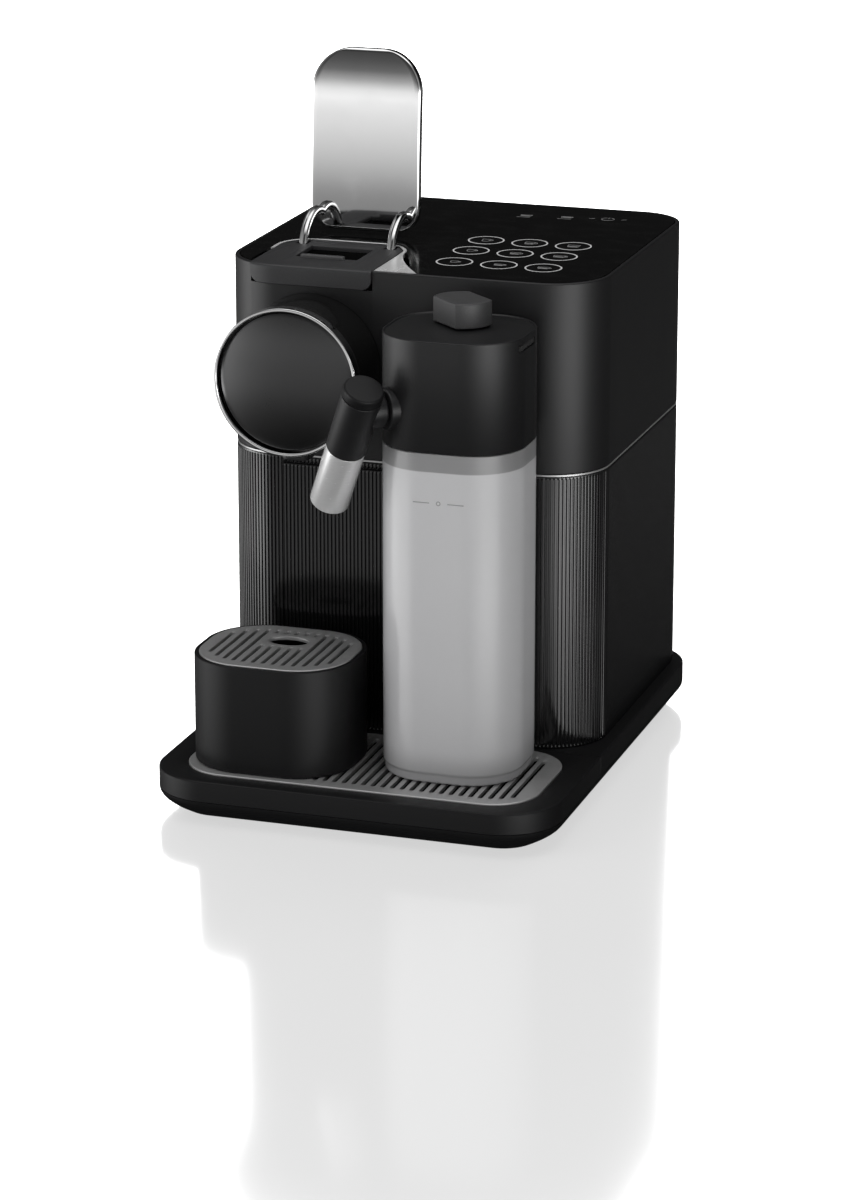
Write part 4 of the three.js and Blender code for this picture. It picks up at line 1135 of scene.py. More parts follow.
class MACHINE_OT_upper_housing(bpy.types.Operator):
    """Smooth housing over the ribbed shell, the bright line between them, and the touch panel"""

    bl_idname = "machine.upper_housing"
    bl_label = "Upper housing"

    def execute(self, context):
        sizes = context.scene.machine_shell
        outline = body_outline()
        _, _, (bottom, top) = spans("upper_housing")
        panel_foot = spans("control_panel")[2][0]
        head = spans("head_cover")
        wall = 2.5 * MM
        section = soft(
            [
                (wall, bottom),
                (0, bottom),
                (0, top),
                (sizes.rim, top),
                (sizes.rim, panel_foot - 0.3 * MM),
                (wall + 3 * MM, panel_foot - 0.3 * MM),
                (wall + 3 * MM, panel_foot - 3 * MM),
            ],
            [0.5 * MM, 0.9 * MM, 0.5 * MM, 0.1 * MM, 0.1 * MM],
        )
        edges = np.array([head[0][0] - 0.3 * MM, head[0][1] + 0.3 * MM])
        corner_turn = np.arcsin((outline.x[0] + outline.front - edges[0]) / outline.front)
        left_place = outline.marks[8] - outline.front * corner_turn
        right_place = outline.length + edges[1] - (outline.x[0] + outline.x[1]) / 2
        marks = np.array([left_place, left_place - 1e-5, right_place, right_place + 1e-5])
        places = outline.places(24, 8, extra=np.mod(marks, outline.length))
        rows = np.stack([loop(outline, inset, height, places) for inset, height in section])
        outer, _ = outline.at(places)
        notched = (outer[:, 0] > edges[0] - 5e-6) & (outer[:, 0] < edges[1] + 5e-6) & (outer[:, 1] < 0)
        limit = np.where(notched, head[2][0] - 0.3 * MM, np.inf)
        rows[..., 2] = np.minimum(rows[..., 2], limit)
        housing = skin(rows, tube=True)
        piece("housing", housing, finish("satin_black"), "root", ["upper_housing"])

        _, _, (low, high) = spans("waist_trim")
        section = [(0.35 * MM, low), (0.35 * MM, high), (3 * MM, high), (3 * MM, low)]
        line = loft(outline, section, outline.places(24), (False, False), tube=True)
        piece("waist_line", line, finish("steel"), "root", ["waist_trim"])
        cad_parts["control_panel"].data.materials.clear()
        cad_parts["control_panel"].data.materials.append(finish("touch_panel"))
        return {"FINISHED"}


# ------------------------------------------------------------------------------ printed symbols
def stroke(path, width, z, height=0.06 * MM, closed=False):
    """Raised line along a flat path: the path is moved half the width to each side, and its section is a
    low rectangle."""
    p = np.asarray(path, float)
    if closed:
        heading = np.roll(p, -1, axis=0) - np.roll(p, 1, axis=0)
    else:
        heading = np.gradient(p, axis=0)
    heading /= np.maximum(np.linalg.norm(heading, axis=1, keepdims=True), 1e-12)
    side = np.column_stack([-heading[:, 1], heading[:, 0]]) * width / 2
    low, high = z - height, z + height
    columns = [(p - side, low), (p - side, high), (p + side, high), (p + side, low)]
    grid = np.stack([np.column_stack([xy, np.full(len(xy), h)]) for xy, h in columns], axis=1)
    return skin(grid, True, (not closed, not closed), tube=closed)


def circle(centre, radius, steps=48, start=0.0, sweep=TURN):
    """Points round a circle, or along an arc of it."""
    angle = start + np.linspace(0, sweep, steps, endpoint=sweep < TURN)
    return np.asarray(centre) + radius * np.column_stack([np.cos(angle), np.sin(angle)])


def cup_symbol(centre, width, height, line, z, handle=True, fill=0.0):
    """Side view of a cup: a U that narrows to its foot, closed by its rim, with an optional handle arc and
    an optional band that shows how full it is."""
    cx, cy = centre
    t = np.linspace(-1, 1, 17)
    across = cx + width / 2 * np.sign(t) * np.abs(t) ** 0.35
    drawn = stroke(np.column_stack([across, cy + height * (np.abs(t) ** 3 - 0.5)]), line, z)
    rim_y = cy + height / 2
    drawn += stroke(np.linspace([cx - width / 2, rim_y], [cx + width / 2, rim_y], 2), line, z)
    if handle:
        arc = circle((cx + width / 2, cy + height * 0.1), height * 0.28, 9, -math.pi / 2, math.pi)
        drawn += stroke(arc, line, z)
    if fill:
        level = cy - height * 0.5 + height * fill
        half = width * 0.36
        drawn += stroke(np.linspace([cx - half, level], [cx + half, level], 2), line * 3, z)
    return drawn


class MACHINE_OT_touch_keys(bpy.types.Operator):
    """Nine ringed touch keys and three small symbols printed on the panel"""

    bl_idname = "machine.touch_keys"
    bl_label = "Touch keys"

    def execute(self, context):
        sizes = context.scene.machine_keys
        z = spans("control_panel")[2][1]
        x, y, _ = spans("upper_housing")
        columns = x[1] - np.array([81.0, 58.3, 35.7]) * MM
        rows = y[0] + np.array([33.5, 60.5, 85.5]) * MM
        rings = None
        symbols = None
        for row, key_y in enumerate(rows):
            for column, key_x in enumerate(columns):
                ring = stroke(circle((key_x, key_y), sizes.ring / 2, 72), sizes.line, z, closed=True)
                rings = ring if rings is None else rings + ring
                width = (4.2 + 0.9 * column) * MM
                height = (3.2 + 0.8 * row) * MM
                handle = row + column < 4
                fill = 0.35 * (column > 0)
                drawn = cup_symbol((key_x, key_y), width, height, sizes.symbol, z, handle, fill)
                symbols = drawn if symbols is None else symbols + drawn
        back = y[0] + 149 * MM
        for place, offset in enumerate([-79.3 * MM, -58.2 * MM, -36.9 * MM]):
            at = np.array([x[1] + offset, back + place * 2 * MM])
            lines = [[(-4, -4), (3, -4)]]
            if place < 2:
                symbols += cup_symbol(at, 6 * MM, 3 * MM, sizes.symbol, z, False, 0.3 * (place + 1))
            else:
                power = circle(at, 3.2 * MM, 30, 0.62 * math.pi, 1.76 * math.pi)
                symbols += stroke(power, sizes.symbol, z)
                lines = [[(0, 1), (0, 4)], [(-7, 0), (-9.5, -1.5)], [(7, 0), (9.5, 1.5)]]
            for line in lines:
                symbols += stroke(at + np.array(line) * MM, sizes.symbol, z)
        piece("key_rings", rings, finish("key_print_painted_glow"), "root")
        piece("key_symbols", symbols, finish("symbol_print"), "root")
        return {"FINISHED"}


# ------------------------------------------------------------------------------ capsule head
class MACHINE_OT_capsule_head(bpy.types.Operator):
    """Grey cover with the capsule slot and its skirt, the raised bar by the slot and the bright trim"""

    bl_idname = "machine.capsule_head"
    bl_label = "Capsule head"

    def execute(self, context):
        x, y, z = spans("head_cover")
        body = body_outline()
        proud = body.y[0] - y[0]
        front = body.grown(proud)
        roof = z[1]
        under = roof - 2 * MM
        fold = 6 * MM
        cover = self.skirt(front, x, z, fold)
        rear_corner = 15 * MM
        sides = Outline(x, (y[0] - 30 * MM, y[1]), rear_corner)
        slot_x, slot_y = ((low + 1 * MM, high - 1 * MM) for low, high in spans("capsule_chute")[:2])
        left_arm = spans("lever_arm_left")
        right_arm = spans("lever_arm_right")
        arm_y = (left_arm[1][0] - 0.9 * MM, left_arm[1][0] + 7 * MM)
        edges = [x[0], left_arm[0][1] + 1.2 * MM, right_arm[0][0] - 1.2 * MM, x[1]]
        holes = [left_arm[0], slot_x, right_arm[0]]
        depths = [arm_y, slot_y, arm_y]
        steps = 10

        def fore(at):
            return front.reach(at)[0] + fold

        def aft(at):
            return sides.reach(at)[1]

        for i, (hole, depth) in enumerate(zip(holes, depths)):
            room = 0.8 * MM if i != 1 else 0
            rim = patch_rim(edges[i], edges[i + 1], fore, aft, steps)
            opening = Outline((hole[0] - room, hole[1] + room), depth, 1 * MM)
            cover += cell(rim, self.matched(opening, steps), (roof, under), 0.35 * MM)
        piece("cover", cover, finish("head_grey"), "root", ["head_cover"])
        self.lip()
        self.trim(sides)
        return {"FINISHED"}

    def matched(self, opening, steps):
        """Loop round an opening that starts at its front left corner, with as many points on each side."""
        (x0, x1), (y0, y1) = opening.x, opening.y
        t = np.linspace(0, 1, steps + 1)[:-1]
        front = (x0 + (x1 - x0) * t, y0)
        right = (x1, y0 + (y1 - y0) * t)
        rear = (x1 + (x0 - x1) * t, y1)
        left = (x0, y1 + (y0 - y1) * t)
        sides = (front, right, rear, left)
        return np.concatenate([np.column_stack(np.broadcast_arrays(a, b)) for a, b in sides])

    def skirt(self, front, x, z, fold):
        """Front of the cover: the roof's edge is folded over the body's front curve and hangs to z, with
        round lower corners; a section of (setback, height) is carried from left to right."""
        across = x[0] + (x[1] - x[0]) * (1 - np.cos(np.linspace(0, math.pi, 61))) / 2
        line = front.reach(across)[0]
        corner = 5 * MM
        nearest = np.minimum(across - x[0], x[1] - across)
        short = np.maximum(corner - nearest, 0)
        foot = z[0] + corner - np.sqrt(corner**2 - short**2)
        roof = z[1]
        thick = 2 * MM
        level = np.ones(len(across))
        steps = [(s, h * level) for s, h in soft([(fold, roof), (0, roof), (0, roof - 3 * MM)], 1.6 * MM, 6)]
        steps += [(0, foot + 0.4 * MM), (0.4 * MM, foot), (thick, foot)]
        steps += [(thick, (roof - thick) * level), (fold, (roof - thick) * level)]
        columns = [np.column_stack([across, line + s, h]) for s, h in steps]
        return skin(np.stack(columns, axis=1), True, (True, True))

    def lip(self):
        """Dark raised bar with round ends in front of the slot: a half-round section along it."""
        x, y, z = spans("slot_lip")
        half = (y[1] - y[0]) / 2
        outline = Outline((x[0] - 1 * MM, x[1] + 1 * MM), y, half - 1e-5)
        crest = z[1] + 0.5 * MM
        profile = soft([(0, z[0] - 0.3 * MM), (0, crest), (half - 2e-5, crest)], 1 * MM, 5)
        bar = loft(outline, profile, outline.places(10))
        piece("lip", bar, finish("knob_grey"), "root", ["slot_lip"])

    def trim(self, sides):
        """Bright strip behind and right of the cover: between the cover's outline and one that stands
        off by 2 mm and flares to 22 mm at the front right; its top is crowned across by a parabola."""
        _, _, z = spans("head_trim")
        (left, right), (_, back), _ = spans("head_cover")
        front = spans("control_panel")[1][0]
        gap = 0.3 * MM
        corner = sides.rear
        bend = back - corner
        turn = np.linspace(math.pi, 0, 33)[:, None]
        arc = corner * np.concatenate([np.cos(turn), np.sin(turn)], axis=1)
        arc_left = np.array([left + corner, bend]) + arc[:17]
        arc_right = np.array([right - corner, bend]) + arc[16:]
        down = np.linspace([right, bend], [right, front], 25)[1:]
        up = np.linspace([left, -50 * MM], [left, bend], 4)[:-1]
        inner = np.concatenate([up, arc_left, arc_right, down])
        heading = np.gradient(inner, axis=0)
        heading /= np.linalg.norm(heading, axis=1, keepdims=True)
        out = np.column_stack([-heading[:, 1], heading[:, 0]])
        t = np.clip((bend - inner[:, 1]) / (bend - front), 0, 1)
        flare = np.where(inner[:, 0] > right - 1e-6, 20 * MM * t**1.5, 0)
        width = 2 * MM + flare - gap
        share = np.array([0, 0.0, 0.15, 0.5, 0.85, 1.0, 1.0])
        crown = z[1] + np.array([-0.1, 0.15, 0.3, 0.15, -0.1]) * MM
        height = np.array([z[0], *crown, z[0]])
        base = inner + gap * out
        grid = base[:, None] + (share[None] * width[:, None])[..., None] * out[:, None]
        rows = np.concatenate([grid, np.broadcast_to(height[None, :, None], (*grid.shape[:2], 1))], axis=-1)
        strip = skin(rows, ends=(True, True))
        piece("head_edge", strip, finish("bright_trim"), "root", ["head_trim"])


# ------------------------------------------------------------------------------ lever
# Distances up the lever plate and how many degrees its face turns upwards there.
TILT = (
    [0, 16 * MM, 32 * MM, 48 * MM, 66 * MM, 80 * MM, 92 * MM],
    [1.4, 1.9, 2.5, 3.2, 4.2, 7.5, 11.0],
)


class MACHINE_OT_lever(bpy.types.Operator):
    """Mirror-polished lever plate and its two curved, grooved arms"""

    bl_idname = "machine.lever"
    bl_label = "Lever"

    def execute(self, context):
        piece("lever_face", self.plate(), finish("chrome"), "lever", ["lever_plate"])
        for side in ("left", "right"):
            self.arm(side)
        return {"FINISHED"}

    def plate(self):
        """Stack of flat sections from the foot to the top: each is a rectangle with round corners as wide
        as the outline is there, and they lean back by the running sum of TILT."""
        x, y, z = spans("lever_plate")
        edge = 1.5 * MM
        top_corner, foot_corner = 21 * MM, 12 * MM
        share = (1 - np.cos(np.linspace(0, math.pi, 110))) / 2
        height = z[0] + (z[1] - z[0]) * share
        upper = Outline(z, x, top_corner).reach(height)
        lower = Outline(z, x, foot_corner).reach(height)
        left, right = np.where(height > (z[0] + z[1]) / 2, upper, lower)
        inward = np.maximum(0, edge - np.minimum(height - z[0], z[1] - height))
        thin = (y[1] - y[0]) / 2 - edge + np.sqrt(edge**2 - inward**2)
        lean = np.tan(np.radians(np.interp(height - z[0], *TILT)))
        back = np.concatenate([[0], np.cumsum((lean[1:] + lean[:-1]) / 2 * np.diff(height))])
        middle = (y[0] + y[1]) / 2 + back - back.min()
        wide = (right - left) / 2
        radius = np.minimum(edge, thin)
        arc = np.linspace(0, math.pi / 2, 6)
        across = np.linspace(1, -1, 26)[1:-1]
        rise, fall = np.sin(arc), np.cos(arc)
        flat = 0 * across
        cos = np.concatenate([fall, flat, -fall[::-1], -fall, flat, fall[::-1]])
        sin = np.concatenate([rise, flat + 1, rise[::-1], -rise, flat - 1, -rise[::-1]])
        end = np.ones(len(arc))
        side = np.concatenate([end, across, -end, -end, -across, end])
        px = ((left + right) / 2)[:, None] + (wide - radius)[:, None] * side + radius[:, None] * cos
        py = middle[:, None] + (thin - radius)[:, None] * np.sign(sin) + radius[:, None] * sin
        return skin(np.stack([px, py, np.broadcast_to(height[:, None], px.shape)], -1), ends=(True, True))

    def arm(self, side):
        """Arm along a circle round the shaft, from inside the head up to the plate: its section is an oval
        with a groove worked along the outside."""
        x, y, _ = spans(f"lever_arm_{side}")
        shaft = spans("lever_shaft")
        centre_y = (shaft[1][0] + shaft[1][1]) / 2
        centre_z = (shaft[2][0] + shaft[2][1]) / 2
        middle = (x[0] + x[1]) / 2
        thick = 4.6 * MM
        radius = centre_y - y[0] - thick / 2
        hinge = np.array([middle, centre_y, centre_z])
        angle = np.radians(np.linspace(54, 219, 70))
        path = hinge + radius * np.column_stack([0 * angle, np.cos(angle), np.sin(angle)])
        turn = np.linspace(0, TURN, 40, endpoint=False)
        half = (x[1] - x[0]) / 2
        oval_x = half * np.sign(np.cos(turn)) * np.abs(np.cos(turn)) ** 0.8
        oval_y = thick / 2 * np.sign(np.sin(turn)) * np.abs(np.sin(turn)) ** 0.8
        groove = 0.9 * MM * np.exp(-((oval_x / (0.55 * MM)) ** 2))
        section = np.column_stack([oval_x, oval_y - np.sign(oval_y) * groove])
        arm = carried(path, section, (1, 0, 0))
        bore, rim = 2.4 * MM, 3.3 * MM
        ring = [(0, bore), (0, rim), (2 * half, rim), (2 * half, bore)]
        hub = turned_profile((x[0], centre_y, centre_z), (1, 0, 0), ring, 32)
        web_angle = math.radians(212)
        reach = np.array([0, math.cos(web_angle), math.sin(web_angle)])
        web_path = hinge + np.linspace(3 * MM, radius, 6)[:, None] * reach
        deep = 1.8 * MM
        bar = [(-half, -deep), (half, -deep), (half, deep), (-half, deep)]
        web = carried(web_path, bar, (1, 0, 0))
        piece(f"arm_{side}", arm + hub + web, finish("chrome"), "lever", [f"lever_arm_{side}"])


# ------------------------------------------------------------------------------ coffee outlet
class MACHINE_OT_outlet(bpy.types.Operator):
    """Outlet drum, faceplate with its bright ring, and the coffee nozzle"""

    bl_idname = "machine.outlet"
    bl_label = "Coffee outlet"

    def execute(self, context):
        x, y, z = spans("outlet_drum")
        centre = ((x[0] + x[1]) / 2, y[1], (z[0] + z[1]) / 2)
        ahead = (0, -1, 0)
        radius = (x[1] - x[0]) / 2
        length = y[1] - y[0]
        wall = 2.5 * MM
        drum = soft([(0, radius - wall), (0, radius), (length, radius), (length, radius - wall)], 0.7 * MM)
        shell = turned_profile(centre, ahead, drum, 128, (False, False))
        shell = skin(shell.points.reshape(len(drum), 128, 3), tube=True)
        piece("drum", shell, finish("gloss_black"), "root", ["outlet_drum"])

        x, y, z = spans("faceplate")
        back = (centre[0], y[1], centre[2])
        depth = y[1] - y[0]
        radius = (x[1] - x[0]) / 2
        r = np.linspace(radius - 2 * MM, radius * 0.04, 12)
        crown = 3.2 * MM
        dome = np.column_stack([depth - crown * (r / radius) ** 2, r])
        edge = soft([(0, radius * 0.5), (0, radius), (depth - crown, radius), tuple(dome[0])], 0.5 * MM)
        face = turned_profile(back, ahead, np.concatenate([edge, dome[1:]]), 128)
        piece("face", face, finish("faceplate_black"), "root", ["faceplate"])

        x, y, z = spans("faceplate_ring")
        outer = (x[1] - x[0]) / 2
        inner = outer - 1.75 * MM
        depth = y[1] - y[0]
        section = soft(
            [(0, inner), (0, outer), (depth, outer), (depth, inner), (depth - 2 * MM, inner)],
            [0.4 * MM, 0.6 * MM, 0.5 * MM],
        )
        ring = turned_profile(back, ahead, section, 160, (False, False))
        ring = skin(ring.points.reshape(len(section), 160, 3), tube=True)
        piece("face_ring", ring, finish("chrome"), "root", ["faceplate_ring"])

        x, y, z = spans("coffee_nozzle")
        outline = Outline(x, y, 4 * MM)
        wall = 2.5 * MM
        section = [(wall, z[1]), (0, z[1]), (0, z[0]), (wall, z[0]), (wall, z[0] + 9 * MM)]
        nozzle = loft(outline, soft(section, 0.7 * MM))
        piece("nozzle", nozzle, finish("satin_black"), "root", ["coffee_nozzle"])
        return {"FINISHED"}


# ------------------------------------------------------------------------------ milk unit
MILK_CORNER = 26 * MM
BUTTON_TRAVEL = 2 * MM


class MACHINE_OT_milk_container(bpy.types.Operator):
    """Frosted milk container with its level line"""

    bl_idname = "machine.milk_container"
    bl_label = "Milk container"

    def execute(self, context):
        x, y, z = spans("milk_container")
        outline = Outline(x, y, MILK_CORNER)
        wall = 2.2 * MM
        floor = z[0] + wall + 1 * MM
        waist = 0.9 * MM
        foot = [(6 * MM, z[0]), (waist, z[0]), (waist, z[0] + 4.5 * MM), (0, z[0] + 5.5 * MM)]
        outside = soft([*foot, (0, z[1]), (wall, z[1])], [1.6 * MM, 0.8 * MM, 0.8 * MM, 0.5 * MM])
        inside = soft([(wall, z[1]), (wall, floor), (12 * MM, floor)], 5 * MM, 6)
        vessel = loft(outline, np.concatenate([outside, inside[1:]]), outline.places(24))
        coat = finish("frosted_plastic")
        piece("container", vessel, coat, "milk_jug", ["milk_container"])
        level = z[0] + 140 * MM
        front = y[0] - 0.05 * MM
        middle = (x[0] + x[1]) / 2
        dashes = None
        for side in (-1, 1):
            start = middle + side * 4.5 * MM
            dash = stroke([(start, 0), (start + side * 8 * MM, 0)], 0.45 * MM, 0)
            dashes = dash if dashes is None else dashes + dash
        dot = stroke(circle((middle, 0), 0.9 * MM, 20), 0.4 * MM, 0, closed=True)
        standing = Matrix(((1, 0, 0, 0), (0, 0, -1, front), (0, 1, 0, level), (0, 0, 0, 1)))
        line = (dashes + dot).turned(standing)
        piece("level_line", line, finish("symbol_print"), "milk_jug")
        return {"FINISHED"}


class MACHINE_OT_milk_lid(bpy.types.Operator):
    """Milk lid with its release slot and button, sunk top, froth knob and symbols"""

    bl_idname = "machine.milk_lid"
    bl_label = "Milk lid"

    def execute(self, context):
        x, y, z = spans("milk_container")
        top = spans("milk_lid")[2][1]
        foot = z[1] + 0.3 * MM
        outline = Outline(x, y, MILK_CORNER)
        button = spans("lid_release_button")
        room = 0.4 * MM
        low, high = button[2][0] - room, button[2][1] + room
        cuts = doubled(button[1][0] - room, button[1][1] + room)
        places = outline.places(24, 3, extra=outline.marks[2] + cuts - y[0] - MILK_CORNER)
        rim = 0.9 * MM
        levels = [(2.5 * MM, foot), (0.2 * MM, foot), (0, foot + 0.3 * MM)]
        levels += [(0, height) for height in doubled(low, high)]
        edge = [(0, top - 2 * MM), (0, top), (rim, top), (rim + 0.5 * MM, top - 0.6 * MM)]
        levels += soft(edge, [0.7 * MM, 0.3 * MM]).tolist()
        rows = np.stack([loop(outline, inset, height, places) for inset, height in levels])
        inside = (rows[..., 1] > cuts[1] - 1e-7) & (rows[..., 1] < cuts[2] + 1e-7)
        inside &= rows[..., 0] > x[1] - 1 * MM
        inside &= (rows[..., 2] > low + 5e-6) & (rows[..., 2] < high - 5e-6)
        rows[..., 0] = np.where(inside, button[0][0] - room - BUTTON_TRAVEL, rows[..., 0])
        lid = skin(rows, ends=(True, True)) + self.neck_stub()
        piece("lid", lid, finish("satin_black"), "milk_head", ["milk_lid"])

        start = rim + 0.45 * MM
        inset = np.array([3, 7, 12, 18, 24])
        drop = 0.62 + 0.25 * np.sin((inset - 1) / 24 * math.pi / 2)
        dish = np.column_stack([inset * MM, top - drop * MM])
        profile = np.concatenate([[(start, top - 1.5 * MM), (start, top - 0.62 * MM)], dish])
        plate = loft(outline, profile, outline.places(20))
        piece("lid_top", plate, finish("lid_black"), "milk_head")
        self.knob()
        self.button(button)
        self.marks(top - 0.75 * MM, x, y)
        return {"FINISHED"}

    def neck_stub(self):
        """Short socket on the lid's rounded corner that the spout turns in, with a thin collar."""
        origin, ahead = neck_line()
        profile = soft([(-6, 9), (-6, 10), (2.6, 10), (2.6, 7)], 0.8) * MM
        return turned_profile(origin, ahead, profile, 64)

    def knob(self):
        """Round knob with two flats: its radius in each direction is the lesser of the round one and the
        flat's distance over the cosine of the angle from it; its edges are softened."""
        x, y, z = spans("froth_knob")
        centre = np.array([(x[0] + x[1]) / 2, (y[0] + y[1]) / 2])
        radius, flat, turned = 14.5 * MM, 10 * MM, math.radians(48)
        corner = math.acos(flat / radius)
        angle = np.unique(np.round(np.concatenate([
            np.linspace(0, TURN, 120, endpoint=False),
            np.mod(np.array([corner, -corner, math.pi + corner, math.pi - corner]), TURN),
        ]), 9))
        reach = np.minimum(radius, flat / np.maximum(np.abs(np.cos(angle)), 0.2))
        around = np.column_stack([np.cos(angle + turned), np.sin(angle + turned)])
        edge = soft([(1 * MM, z[0]), (0, z[0]), (0, z[1]), (1.2 * MM, z[1])], [0.5 * MM, 0.9 * MM])
        dome = np.column_stack([np.array([3, 6, 9]) * MM, z[1] - np.array([0.05, 0.12, 0.16]) * MM])
        rows = [
            np.column_stack([centre + around * (reach - inset)[:, None], np.full(len(angle), height)])
            for inset, height in np.concatenate([edge, dome])
        ]
        knob = skin(np.stack(rows), ends=(True, True))
        piece("knob", knob, finish("knob_grey"), "froth_control", ["froth_knob"])

    def button(self, button):
        """Release button in its slot: a bar with three grip ridges, a cosine across its length."""
        (x0, x1), y, z = button
        along = np.linspace(y[0], y[1], 60)
        ridge = 0.25 * MM * np.cos((along - y[0]) / (y[1] - y[0]) * TURN * 6)
        front = x1 - 0.3 * MM + ridge
        back = np.full(60, x0)
        columns = [(back, z[0]), (front, z[0]), (front, z[1]), (back, z[1])]
        sides = [np.column_stack([at, along, np.full(60, height)]) for at, height in columns]
        bar = skin(np.stack(sides, axis=1), ends=(True, True))
        piece("release", bar, finish("rubber"), "lid_release", ["lid_release_button"])

    def marks(self, z, x, y):
        """Three small generic symbols for less froth, more froth and rinsing."""
        line = 0.6 * MM
        left, right = x[0], y[0]
        drop = circle((left + 14 * MM, right + 35 * MM), 1.8 * MM, 18)
        drawn = stroke(drop, line, z, closed=True)
        drawn += stroke([(left + 18 * MM, right + 34 * MM), (left + 19.5 * MM, right + 32.5 * MM)], line, z)
        for puff in (-2.6, 0, 2.6):
            centre = (left + (33 + puff) * MM, right + 19 * MM)
            drawn += stroke(circle(centre, 1.8 * MM, 16, 0, math.pi), line, z)
        drawn += stroke([(left + 28 * MM, right + 18.6 * MM), (left + 38 * MM, right + 18.6 * MM)], line, z)
        rinse = circle((left + 57.5 * MM, right + 29 * MM), 2.2 * MM, 24, -0.4, 1.6 * math.pi)
        drawn += stroke(rinse, line, z)
        # the lid's symbols use the key print, with its painted glow
        piece("lid_symbols", drawn, finish("key_print_painted_glow"), "milk_head")


def neck_line():
    """The point where the spout's neck leaves the lid's rounded front left corner, and its direction."""
    x, y, _ = spans("milk_container")
    ahead = np.array([-math.sqrt(0.5), -math.sqrt(0.5), 0])
    centre = np.array([x[0] + MILK_CORNER, y[0] + MILK_CORNER])
    height = spout_line()[0][2]
    return np.array([*(centre + MILK_CORNER * ahead[:2]), height]), ahead


def spout_line():
    """The spout tube's middle, level with its neck, and the unit direction up the tube: the directions
    between the centres of its cap and its sleeve."""
    cap = np.array(spans("spout_cap")).mean(axis=1)
    sleeve = np.array(spans("spout_sleeve")).mean(axis=1)
    up = (cap - sleeve) / np.linalg.norm(cap - sleeve)
    cap_middle = 13.0 * MM
    return cap - cap_middle * up, up


class MACHINE_OT_spout(bpy.types.Operator):
    """Milk spout: neck, tube, steel sleeve and cap"""

    bl_idname = "machine.spout"
    bl_label = "Milk spout"

    def execute(self, context):
        origin, up = spout_line()
        corner, ahead = neck_line()
        tube = soft([(-23.3, 9.0), (-23.3, 9.8), (10.0, 9.8), (10.0, 8.9)], 0.5) * MM
        reach = np.linalg.norm((origin - corner)[:2])
        neck = soft([(0.0036, 0.006), (0.0036, 0.0088), (reach * 0.62, 0.0088), (reach, 0.0062)], 0.0012)
        body = turned_profile(origin, up, tube, 96) + turned_profile(corner, ahead, neck, 64)
        piece("spout_tube", body, finish("satin_black"), "milk_spout", ["spout_body"])

        section = soft([(-59.2, 8.4), (-59.2, 9.6), (-23.6, 9.6), (-23.6, 8.4)], [0.5, 0.3]) * MM
        sleeve = turned_profile(origin, up, section, 96, (False, False))
        sleeve = skin(sleeve.points.reshape(len(section), 96, 3), tube=True)
        piece("spout_sleeve_tube", sleeve, finish("spout_steel"), "milk_spout", ["spout_sleeve"])

        rim = [(9.5, 9.0), (10.5, 9.0), (10.5, 9.8), (14.2, 9.8), (15.4, 9.1), (15.4, 0.5)]
        cap = turned_profile(origin, up, soft(rim, [0.1, 0.3, 1.0, 0.6]) * MM, 96)
        piece("spout_top", cap, finish("base_black"), "milk_spout", ["spout_cap"])
        return {"FINISHED"}


# ------------------------------------------------------------------------------ water tank
class MACHINE_OT_water_tank(bpy.types.Operator):
    """Smoked water tank with its lid"""

    bl_idname = "machine.water_tank"
    bl_label = "Water tank"

    def execute(self, context):
        x, y, z = spans("water_tank")
        outline = Outline(x, y, TANK_FRONT_CORNER, TANK_CORNER)
        wall = 2.2 * MM
        floor = z[0] + wall + 1 * MM
        outside = soft([(3 * MM, z[0]), (0, z[0]), (0, z[1]), (wall, z[1])], [1.5 * MM, 0.5 * MM])
        inside = soft([(wall, z[1]), (wall, floor), (3.5 * MM, floor)], 1 * MM)
        vessel = loft(outline, np.concatenate([outside, inside[1:]]), outline.places(18))
        piece("tank", vessel, finish("smoked_plastic"), "tank", ["water_tank"])

        x, y, z = spans("tank_lid")
        outline = Outline(x, y, TANK_FRONT_CORNER, TANK_CORNER)
        skirt = z[0] + 4 * MM
        inner = 3.4 * MM
        rim = soft(
            [(inner + 2 * MM, z[0]), (inner, z[0]), (inner, skirt), (0, skirt), (0, z[1]), (6 * MM, z[1])],
            [0.4 * MM, 0.3 * MM, 0.4 * MM, 1.4 * MM],
        )
        places = outline.places(18)
        rows = [loop(outline, inset, height, places) for inset, height in rim]
        middle = (0, (y[0] + y[1]) / 2)
        dish = [(26, 0), (25, 0.4), (23, 1.6), (18, 2.4), (9, 2.8), (1, 2.9)]
        rows += [circle_loop(rows[-1], middle, r * MM, z[1] - drop * MM) for r, drop in dish]
        lid = skin(np.stack(rows), ends=(True, True))
        piece("tank_cover_plate", lid, finish("satin_black"), "tank_cover", ["tank_lid"])
        return {"FINISHED"}


class MACHINE_OT_inner_works(bpy.types.Operator):
    """Finishes for the brewing parts, pump, heater, boards and the other plain nodes"""

    bl_idname = "machine.inner_works"
    bl_label = "Inner works"

    def execute(self, context):
        coats = {
            "rear_cover": "satin_black",
            "mains_gland": "rubber",
            "tank_valve": "white_plastic",
            "tank_socket": "white_plastic",
            "brew_frame_left": "steel",
            "brew_frame_right": "steel",
            "capsule_cage": "aluminium",
            "capsule_chute": "gloss_black",
            "gear_axle": "steel",
            "lever_shaft": "steel",
            "lever_gear": "brass",
            "drive_gear": "brass",
            "brew_piston": "brass",
            "pump": "white_plastic",
            "pump_mount": "rubber",
            "thermoblock": "aluminium",
            "flow_meter": "white_plastic",
            "water_hose": "silicone",
            "control_board": "circuit_board",
            "power_board": "circuit_board",
            "steam_connector": "rubber",
            "lid_seal": "silicone",
            "suction_pipe": "white_plastic",
        }
        for node, coat in coats.items():
            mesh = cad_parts[node].data
            mesh.materials.clear()
            mesh.materials.append(finish(coat))
        return {"FINISHED"}


